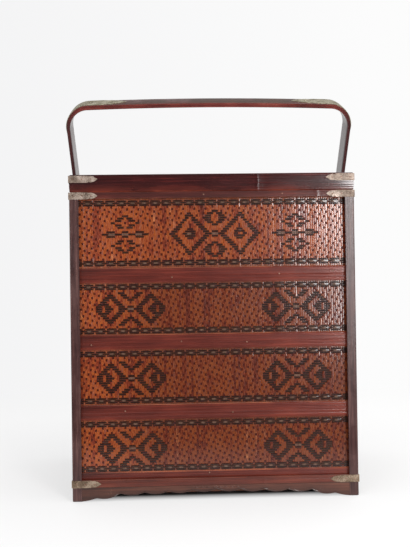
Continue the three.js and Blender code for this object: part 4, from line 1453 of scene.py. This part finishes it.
# %% Carving of the aprons
APRON_TOP = box_mm("apron_front")[1][2]
APRON_INSET, APRON_BACK = 0.6, 5.0
APRON_STEP, APRON_ROWS, APRON_ROUNDING = 0.9, 15, 0.5
EDGE_DARKENING, EDGE_DARKENING_REACH, PAINTED_SHADE_TOP, BACK_DARKENING = 0.62, 0.5, 0.35, 0.6
EDGE_LINE = 1.7
ROW_REACH, ROW_DROP, LOZENGE_PITCH = 32, 2.2, 8
CURL_INWARDS, CURL_DROP, CURL_RADIUS, CURL_PITCH = 14, 5.2, 4.4, 2.1


def groove(distance, depth, width):
    return depth * math.exp(-((distance / width) ** 2))


def carving(run, up, edge, half_run):
    """Depth of the carving at a point of the apron's face."""
    depth = groove(up - edge - EDGE_LINE, 0.3, 0.42)
    across = abs(run)
    if across < ROW_REACH:
        near = abs((across + LOZENGE_PITCH / 2) % LOZENGE_PITCH - LOZENGE_PITCH / 2)
        off_row = abs(up - APRON_TOP + ROW_DROP)
        depth += groove(near / 2.6 + off_row / 1.3 - 1, 0.4, 0.4)
    off = across - (half_run - BRACKET_WIDTH + CURL_INWARDS)
    rise = up - (APRON_TOP - CURL_DROP)
    radius = math.hypot(off, rise)
    if radius < CURL_RADIUS:
        turn = math.atan2(rise, off) / (2 * math.pi)
        arm = (radius / CURL_PITCH - turn) % 1.0
        depth += groove(min(arm, 1 - arm) * CURL_PITCH, 0.4, 0.35)
    return depth


def apron_shell(side, face, half_run, seed):
    runs = np.linspace(-half_run, half_run, int(half_run * 2 / APRON_STEP))
    shares = np.linspace(0, 1, APRON_ROWS)
    # Darker towards the lower edge; along the top, painted shade under the base rail.
    darkening_by_row = EDGE_DARKENING * np.exp(-((shares / EDGE_DARKENING_REACH) ** 2))
    darkening_by_row += np.where(shares > 0.9, PAINTED_SHADE_TOP, 0.0)
    sections, places, wear_and_highlight_mix = [], [], []
    for run in runs:
        edge = apron_edge(run, half_run)
        levels = edge + (APRON_TOP - edge) * shares
        cut = [carving(run, level, edge, half_run) for level in levels]
        wear_and_highlight_mix += [max(0.0, 4.0 * depth - 1.2) for depth in cut] + [0.0, 0.0]
        depths = [APRON_INSET + depth for depth in cut]
        depths[0] += APRON_ROUNDING
        outline = [(run, level, -depth) for level, depth in zip(levels, depths)]
        outline += [(run, APRON_TOP, -APRON_BACK), (run, edge, -APRON_BACK)]
        sections.append(on_side(side, outline, face))
        across = list(levels) + [APRON_TOP + 3, edge - 3]
        places += [(run * MM, level * MM, seed) for level in across]
    points, faces = shell_of_rings(sections)
    darkening = np.tile(np.append(darkening_by_row, [BACK_DARKENING] * 2), len(runs))
    return points, faces, {"grain": np.array(places), "wear_and_highlight_mix": np.array(wear_and_highlight_mix), "darkening": darkening}


# The darkening colour: darker towards the lower edge, and painted shade along the top.
apron_wood = slat_finish(
    "apron_wood", (54, 27, 19), (80, 42, 30), (108, 63, 46), (152, 112, 94), 0.4,
    darkening=(30, 17, 13),
)
for index, side in enumerate(ROUND):
    name = f"apron_{side}"
    low, high = box_mm(name)
    face = side_reach(side, *body_half)[0]
    half_run = side_reach(side, high[0], high[1])[1]
    shell = apron_shell(side, face, half_run, 0.5 * index)
    make_piece(f"{name}_carved", [shell], apron_wood, "frame", (name,))
    print(f"{name}_carved:", len(shell[1]), "faces")

# %% [markdown]
# The handle is one broad strap of bamboo, heated and bent to a hoop. It is thickest in the bar,
# the bar rises a little in its middle, and the legs lean in below the bends. A curve object with
# a bevel would keep one thickness all the way, so the strap is lofted along a middle line of its
# own. The path is built upright, with heights counted from the pins.

# %% Path of the handle
PIVOT = 392.0
HANDLE = {
    "lean": 24.5, "reach": 179.5, "width": 36.0, "leg": 5.5, "bar": 7.0, "arch": 3.0,
    "splay": 4.6, "straight": 56.0, "bend": 30.0,
}
LEG_INNER = 196.1
LEG_MIDDLE = LEG_INNER + HANDLE["leg"] / 2
BEND_X = LEG_MIDDLE + HANDLE["splay"]
BEND_BOTTOM = HANDLE["reach"] - HANDLE["arch"] - HANDLE["bend"]
LEG_LEVELS = (30, 12, 4, 0, -4, -7.5, -10.5, -13, -15, -16.5, -17.5)


def handle_path(bar_steps=22, bend_steps=16, leg_steps=22):
    """Right half of the strap's middle line as rows of x, z, thickness and half width."""
    bar, leg, bend = HANDLE["bar"], HANDLE["leg"], HANDLE["bend"]
    straight_end = BEND_X - bend
    rows = []
    for step in range(bar_steps + 1):
        share = step / bar_steps
        drop = HANDLE["arch"] * share**2
        rows.append((straight_end * share, HANDLE["reach"] - drop, bar))
    for step in range(1, bend_steps + 1):
        share = step / bend_steps
        turn = math.pi / 2 * share
        x, z = straight_end + bend * math.sin(turn), BEND_BOTTOM + bend * math.cos(turn)
        rows.append((x, z, bar + (leg - bar) * share))
    for step in range(1, leg_steps + 1):
        share = step / leg_steps
        level = BEND_BOTTOM + (HANDLE["straight"] - BEND_BOTTOM) * share
        rows.append((BEND_X + (LEG_MIDDLE - BEND_X) * share, level, leg))
    rows += [(LEG_MIDDLE, level, leg) for level in LEG_LEVELS]
    half = HANDLE["width"] / 2
    halves = [half if row[1] > 0 else math.sqrt(half**2 - row[1] ** 2) for row in rows]
    return np.array([(*row, width) for row, width in zip(rows, halves)])


print("stations on half the handle:", len(handle_path()))

# %% [markdown]
# The sections of the strap stand square to its middle line, so each station also needs the
# direction out of the hoop. The left half is the mirror image of the right one. Seen from the
# side the handle leans a little, so all its points are turned about the pins at the end.

# %% Hoop of the handle
def with_normals(rows):
    """Adds the direction out of the hoop to each row."""
    ahead = np.vstack([rows[1:, :2], rows[-1:, :2]])
    before = np.vstack([rows[:1, :2], rows[:-1, :2]])
    along = ahead - before
    along /= np.linalg.norm(along, axis=1)[:, None]
    normals = np.stack([-along[:, 1], along[:, 0]], axis=1)
    normals[0] = (0, 1)
    normals[-1] = (1, 0)
    return np.hstack([rows, normals])


def whole_hoop(rows):
    mirrored = rows[1:][::-1].copy()
    mirrored[:, 0] *= -1
    mirrored[:, 4] *= -1
    return np.vstack([mirrored, rows])


def leant(points):
    """Turns points of the upright handle about its pins, to the front."""
    lean = math.radians(HANDLE["lean"])
    points = np.asarray(points, float)
    x, y, z = points[..., 0], points[..., 1], points[..., 2]
    turned_y = y * math.cos(lean) - z * math.sin(lean)
    turned_z = y * math.sin(lean) + z * math.cos(lean)
    return np.stack([x, turned_y, turned_z + PIVOT], axis=-1)


half_path = with_normals(handle_path())
hoop = whole_hoop(half_path)
print("handle stations:", len(hoop))

# %% [markdown]
# The strap's upper face is slightly crowned, its long edges are rounded, and a thin groove runs
# along the middle of each. The section's points also carry how worn they are, most on the upper
# face and more on the bar than on the legs.

# %% Strap of the handle
STRAP_CROWN = 0.35
STRAP_ROUNDING = 1.3


def strap_top(across, thickness, half_width):
    return thickness / 2 - STRAP_CROWN * (across / half_width) ** 2


def strap_section(thickness, half_width):
    """Points (across, out) round the strap's section, and how worn each is."""
    half = thickness / 2
    top = np.linspace(STRAP_ROUNDING - half_width, half_width - STRAP_ROUNDING, 9)
    levels = np.linspace(half - 0.75, -half + 0.5, 7)
    reach = half_width - 0.12 * np.exp(-((levels / 0.5) ** 2))
    upper = [(across, strap_top(across, thickness, half_width), 1.0) for across in top]
    right = [(across, level, 0.0) for across, level in zip(reach, levels)]
    lower = [(across, -half, 0.1) for across in top[::-1]]
    left = [(-across, level, 0.0) for across, level in zip(reach[::-1], levels[::-1])]
    return np.array(upper + right + lower + left)


def strap_shell():
    sections, places, wear_and_highlight = [], [], []
    length = 0.0
    last = hoop[0, :2]
    for x, z, thickness, half_width, normal_x, normal_z in hoop:
        length += math.hypot(x - last[0], z - last[1])
        last = (x, z)
        across, out, wear_and_highlight_mix = strap_section(thickness, half_width).T
        points = np.stack([x + normal_x * out, across, z + normal_z * out], axis=1)
        sections.append(leant(points))
        around = across + np.where(np.abs(across) > half_width - 1, out * 3, 0)
        places += [(length * MM, value * MM, 0.2) for value in around]
        on_bar = np.clip((z - 120) / 30, 0, 1)
        wear_and_highlight += list(wear_and_highlight_mix * (0.25 + 0.75 * on_bar))
    points, faces = shell_of_rings(sections)
    return points, faces, {"grain": np.array(places), "wear_and_highlight_mix": np.array(wear_and_highlight)}


print("points round the strap's section:", len(strap_section(HANDLE["bar"], 18.0)))

# %% [markdown]
# Hands have rubbed the bar's upper face to a dull dark brown, while its edges keep the red
# lacquer. Both colours are ramps over the same streaks, and the finish mixes them by how worn
# the points are. The legs are a darker brown, and the change lies under the bend plates.

# %% Finish of the handle
LEG_FROM, LEG_TO = 0.2, 0.17
hoop_length = float(np.sum(np.hypot(*np.diff(hoop[:, :2], axis=0).T))) * MM


def handle_finish():
    material, tree, shader = new_finish("handle_lacquer", (110, 58, 50))
    grain = attribute(tree, "grain", "Vector")
    streak = noise(tree, grain, (7, 420, 1))
    cloud = noise(tree, object_place(tree), (26, 26, 26))
    tone = weighted(tree, (streak, 0.6), (cloud, 0.45))
    red = ramp(tree, tone, [(0.38, (62, 28, 27)), (0.54, (98, 40, 35)), (0.72, (132, 66, 56))])
    rubbed_and_highlight = ramp(tree, tone, [(0.36, (42, 22, 14)), (0.54, (62, 36, 24)), (0.72, (86, 56, 40))])
    patchy = spread(tree, cloud, 0.3, 0.5)
    share = times(tree, attribute(tree, "wear_and_highlight_mix"), patchy, clamp=True)
    colour = mixed(tree, share, red, rubbed_and_highlight)
    level = axis(tree, grain, "X")
    left_leg = spread(tree, level, LEG_FROM, LEG_TO)
    right_leg = spread(tree, level, hoop_length - LEG_FROM, hoop_length - LEG_TO)
    on_leg = times(tree, larger(tree, left_leg, right_leg), 0.8)
    colour = mixed(tree, on_leg, colour, (46, 29, 31))
    roughness = spread(tree, tone, 0.35, 0.7, 0.24, 0.4)
    roughness = plus(tree, roughness, times(tree, share, 0.12))
    normal = bump(tree, tone, 0.0003, 0.5)
    lacquer = spread(tree, share, 0.0, 0.8, 0.5, 0.3)
    connect(tree, shader, colour, roughness, normal, (0.12, lacquer, 0.18))
    return material


handle_lacquer = handle_finish()
print("the strap is", round(hoop_length, 3), "m long")

# %% [markdown]
# Two round holes at the ends of the strap take the pins. Holes are hard to leave open in a loft,
# so the strap is made whole, and two cylinders are then cut out of it with boolean modifiers.
# Their result is written into the mesh, and the cylinders are thrown away.

# %% Handle with its pin holes
PIN_HOLE = 3.3


def round_cutter(radius, half_length, centre, segments=40):
    turns = np.linspace(0, 2 * math.pi, segments, endpoint=False)
    rings = [
        [(x, radius * math.cos(turn), radius * math.sin(turn)) for turn in turns]
        for x in (centre - half_length, centre + half_length)
    ]
    points, faces = shell_of_rings(rings)
    mesh = bpy.data.meshes.new("cutter")
    mesh.from_pydata((leant(points) * MM).tolist(), [], faces)
    cutter = bpy.data.objects.new("cutter", mesh)
    scene.collection.objects.link(cutter)
    return cutter


def drill(piece, cutters):
    """Cuts the cutters out of a piece and applies the result to its mesh."""
    for cutter in cutters:
        hole = piece.modifiers.new("hole", "BOOLEAN")
        hole.operation = "DIFFERENCE"
        hole.solver = "EXACT"
        hole.object = cutter
    bpy.context.view_layer.update()
    evaluated = piece.evaluated_get(bpy.context.evaluated_depsgraph_get())
    drilled = bpy.data.meshes.new_from_object(evaluated)
    piece.modifiers.clear()
    piece.data = drilled
    for cutter in cutters:
        bpy.data.objects.remove(cutter)


handle = make_piece(
    "handle_hoop", [strap_shell()], handle_lacquer, "handle", ("handle_strap",),
    sharp=40,
)
drill(handle, [round_cutter(PIN_HOLE, 5, sign * LEG_MIDDLE) for sign in (-1, 1)])
print("handle faces:", len(handle.data.polygons))

# %% [markdown]
# A thin plate strengthens each bend. It runs out along the bar as a pointed leaf and is beaten
# thinner towards its end on the leg. It is lofted along the strap's middle line, a little above
# its surface, so it follows the bend exactly.

# %% Leaf of a bend plate
PLATE = {"lift": 0.8, "half": 16.0, "leaf_start": 84.0, "leg_end": 12.0}
LEAF_SHARES = [0.0, 0.05, 0.13, 0.2, 0.24, 0.3, 0.9, 1.0]
LEAF_WIDTHS = [0.05, 0.3, 0.66, 0.86, 0.8, 1.0, 1.0, 0.86]
LIFT_SHARES, LIFT_HEIGHTS = (0, 0.04, 0.85, 1), (0.35, 1, 1, 0.15)
LEAF_SINK = 0.3
LEAF_STATIONS = 56


def plate_rows():
    """The strap's stations that lie under a plate, more closely spaced than on the strap.

    The bar is nearly level, so the way along it is the distance from its middle.
    """
    steps = np.hypot(*np.diff(half_path[:, :2], axis=0).T)
    run = np.append(0, np.cumsum(steps))
    start = BEND_X - PLATE["leaf_start"]
    end = np.interp(PLATE["leg_end"] - BEND_BOTTOM, -half_path[:, 1], run)
    places = np.linspace(start, end, LEAF_STATIONS)
    rows = np.stack([np.interp(places, run, column) for column in half_path.T], axis=1)
    return rows, (places - start) / (end - start)


def mirrored_hoop(points, sign):
    return leant(points * np.array([sign, 1, 1]))


def leaf_shell(sign):
    """The plate itself, from the leaf's point to the end on the leg."""
    rows, shares = plate_rows()
    sections = []
    for (x, z, thickness, half_width, normal_x, normal_z), share in zip(rows, shares):
        half = PLATE["half"] * np.interp(share, LEAF_SHARES, LEAF_WIDTHS)
        lift = PLATE["lift"] * np.interp(share, LIFT_SHARES, LIFT_HEIGHTS)
        across = np.linspace(-half, half, 9)
        out = strap_top(across, thickness, half_width)
        across = np.concatenate([across, across[::-1]])
        out = np.concatenate([out + lift, out[::-1] - LEAF_SINK])
        section = np.stack([x + normal_x * out, across, z + normal_z * out], axis=1)
        sections.append(mirrored_hoop(section, sign))
    points, faces = shell_of_rings(sections)
    return points, faces, {}


print("stations along a bend plate:", LEAF_STATIONS)

# %% [markdown]
# A small raised rosette and two nails sit on each plate. They are all low domes on a short neck
# that sinks into the metal, and the rosette is one dome in a ring of eight smaller ones. The
# domes belong to the plate's own piece, because they never move apart from it.

# %% Rosettes and plates of the handle
STUD = ((1, -0.4, 0), (1, 0.05, 0), (0.84, 0, 0.6), (0.5, 0, 0.93))
ROSETTE_PLACE, ROSETTE_ALONG, ROSETTE_ACROSS = 0.2, 0.036, 4.0


def dome_rings(profile, radius, height, segments=12):
    """Rings (along, across, out) of a low dome on a short neck.

    Each row of the profile is a share of the radius, a height, and a share of the dome's height.
    """
    turns = np.linspace(0, 2 * math.pi, segments, endpoint=False)
    circle = radius * np.stack([np.cos(turns), np.sin(turns)], axis=1)
    return np.array([
        np.column_stack([reach * circle, np.full(segments, level + share * height)])
        for reach, level, share in profile
    ])


def stud_shell(sign, place, across, radius, height, segments=12):
    """A small dome on a plate. The place is the share of the way along it."""
    rows, shares = plate_rows()
    x, z, thickness, half_width, normal_x, normal_z = (
        np.interp(place, shares, column) for column in rows.T
    )
    run, aside, out = np.moveaxis(dome_rings(STUD, radius, height, segments), -1, 0)
    out = out + strap_top(across, thickness, half_width) + PLATE["lift"]
    rings = np.stack([
        x + normal_x * out + normal_z * run, across + aside, z + normal_z * out - normal_x * run,
    ], axis=-1)
    points, faces = shell_of_rings(mirrored_hoop(rings, sign))
    return points, faces, {}


for side, sign in (("left", -1), ("right", 1)):
    name = f"handle_plate_{side}"
    shells = [leaf_shell(sign)]
    shells += [stud_shell(sign, place, 0.0, 1.1, 0.5) for place in (0.08, 0.46)]
    shells.append(stud_shell(sign, ROSETTE_PLACE, 0.0, 1.7, 0.6))
    for turn in np.linspace(0, 2 * math.pi, 8, endpoint=False):
        place = ROSETTE_PLACE + ROSETTE_ALONG * math.cos(turn)
        across = ROSETTE_ACROSS * math.sin(turn)
        shells.append(stud_shell(sign, place, across, 1.0, 0.4, 8))
    make_piece(f"{name}_bent", shells, bend_metal, "handle", (name,), 45)
    print(f"{name}_bent: one leaf and", len(shells) - 1, "domes")

# %% [markdown]
# Small domed nails hold the battens, rails and plates. Each head is a low dome on a short neck,
# and all the nails of one body are one piece. The nails of the front battens stand where the
# photograph shows them.

# %% Nails of the battens
NAIL = ((1, -0.5, 0), (1, 0.05, 0), (0.86, 0, 0.6), (0.5, 0, 0.92))
NAIL_RADIUS, NAIL_HEIGHT, NAIL_SINK = 1.15, 0.55, 0.45
FRONT_NAILS = {
    "tier_1": [(-57, -3), (91, 0), (165, 3)],
    "tier_2": [(-168, -3), (-45, 0), (45, -2)],
    "tier_3": [(-123, 2), (24, -2)],
    "tier_4": [(-9, 5)],
}
BACK_NAILS, SIDE_NAILS = (-150, -40, 60, 155), (-85, 88)


def nail_shell(side, along, up, face, radius=NAIL_RADIUS, height=NAIL_HEIGHT):
    rings = dome_rings(NAIL, radius, height) + np.array([along, up, 0.0])
    points, faces = shell_of_rings(on_side(side, rings, face))
    return points, faces, {}


def middle_height(name):
    low, high = box_mm(name)
    return (low[2] + high[2]) / 2


def batten_nails(tier, front_places):
    """Nails in the middle of a tier's battens. The front ones are (place, lift)."""
    name = f"{tier}_batten_ring"
    level = middle_height(name)
    face_x, face_y = box_mm(name)[1][:2] - NAIL_SINK
    places = [("front", along, level + lift, face_y) for along, lift in front_places]
    places += [("back", along, level, face_y) for along in BACK_NAILS]
    places += [(side, along, level, face_x) for side in ("left", "right") for along in SIDE_NAILS]
    return [nail_shell(*place) for place in places]


for tier, places in FRONT_NAILS.items():
    shells = batten_nails(tier, places)
    make_piece(f"{tier}_nails", shells, nail_metal, tier, (), 60)
    print(f"{tier}_nails:", len(shells))

# %% [markdown]
# Each of the two leaves of a corner plate is held by three smaller nails, and two more hold the
# rim rail at the front and at the back. Those on the frame are one piece and those on the lid
# another, because the lid lifts off.

# %% Nails of the frame and of the lid
PLATE_NAIL_RADIUS, PLATE_NAIL_HEIGHT = 0.95, 0.42
PLATE_NAILS = (5.5, 17.5, 30.0)
PLATE_PROUD = 0.75
RIM_NAILS = {"front": (-12, 96), "back": (-70, 40)}
RIM_NAIL_SINK = 0.25


def plate_nails(prefix):
    """Nails on the four corner plates of one height, at three distances from the corner."""
    level = middle_height(f"{prefix}_front_left")
    shells = []
    for side in ("front", "back", "left", "right"):
        face, half_run = side_reach(side, *body_half)
        for sign in (-1, 1):
            for inwards in PLATE_NAILS:
                along = sign * (half_run - inwards)
                shells.append(nail_shell(
                    side, along, level, face + PLATE_PROUD, PLATE_NAIL_RADIUS,
                    PLATE_NAIL_HEIGHT,
                ))
    return shells


frame_nails = plate_nails("base_plate") + plate_nails("rim_plate")
rim_level = middle_height("rim_rail_front")
rim_face = body_half[1] - RIM_NAIL_SINK
for side, places in RIM_NAILS.items():
    frame_nails += [nail_shell(side, along, rim_level, rim_face) for along in places]
make_piece("frame_nails", frame_nails, nail_metal, "frame", (), 60)
make_piece("lid_nails", plate_nails("lid_plate"), nail_metal, "lid", (), 60)
print("nails on the frame:", len(frame_nails))

# %% [markdown]
# The lid's top is a woven panel in the rabbet of its rails. It isn't in the photograph, so it
# repeats the upper tier's weave: the satin ground, a border along both long edges, and the
# two ringed diamonds in the middle with an open flower on each side.

# %% Woven lid
LID_FIGURES = [(two_diamonds, 0, {}), (open_flower, -105, {}), (open_flower, 105, {})]
LID_WEAVE_DROP = 0.85
LID_ROWS, LID_FIGURE_ROW, LID_BOARDS = 69, 34, 7


def make_lid_panel():
    low, high = box_mm("lid_panel")
    half_x, half_y = high[:2]
    surface = high[2] - LID_WEAVE_DROP
    plan = plan_panel(
        2 * half_x, 2 * half_y, (2.0, 2.0), LID_ROWS, LID_FIGURE_ROW, LID_FIGURES,
    )
    bundles = new_bundles()
    weave_panel(bundles, plan, "top", surface, -half_y, (0.0, 0.0, 1.0, 1.0))
    place_weave("lid", bundles, "lid", "lid_panel")
    seeds = [7 * board for board in range(LID_BOARDS)]
    boards = floor_boards(half_x, half_y, low[2], surface - 0.3, seeds)
    make_piece("lid_backing", boards, lining_bamboo, "lid", ("lid_panel",))


make_lid_panel()
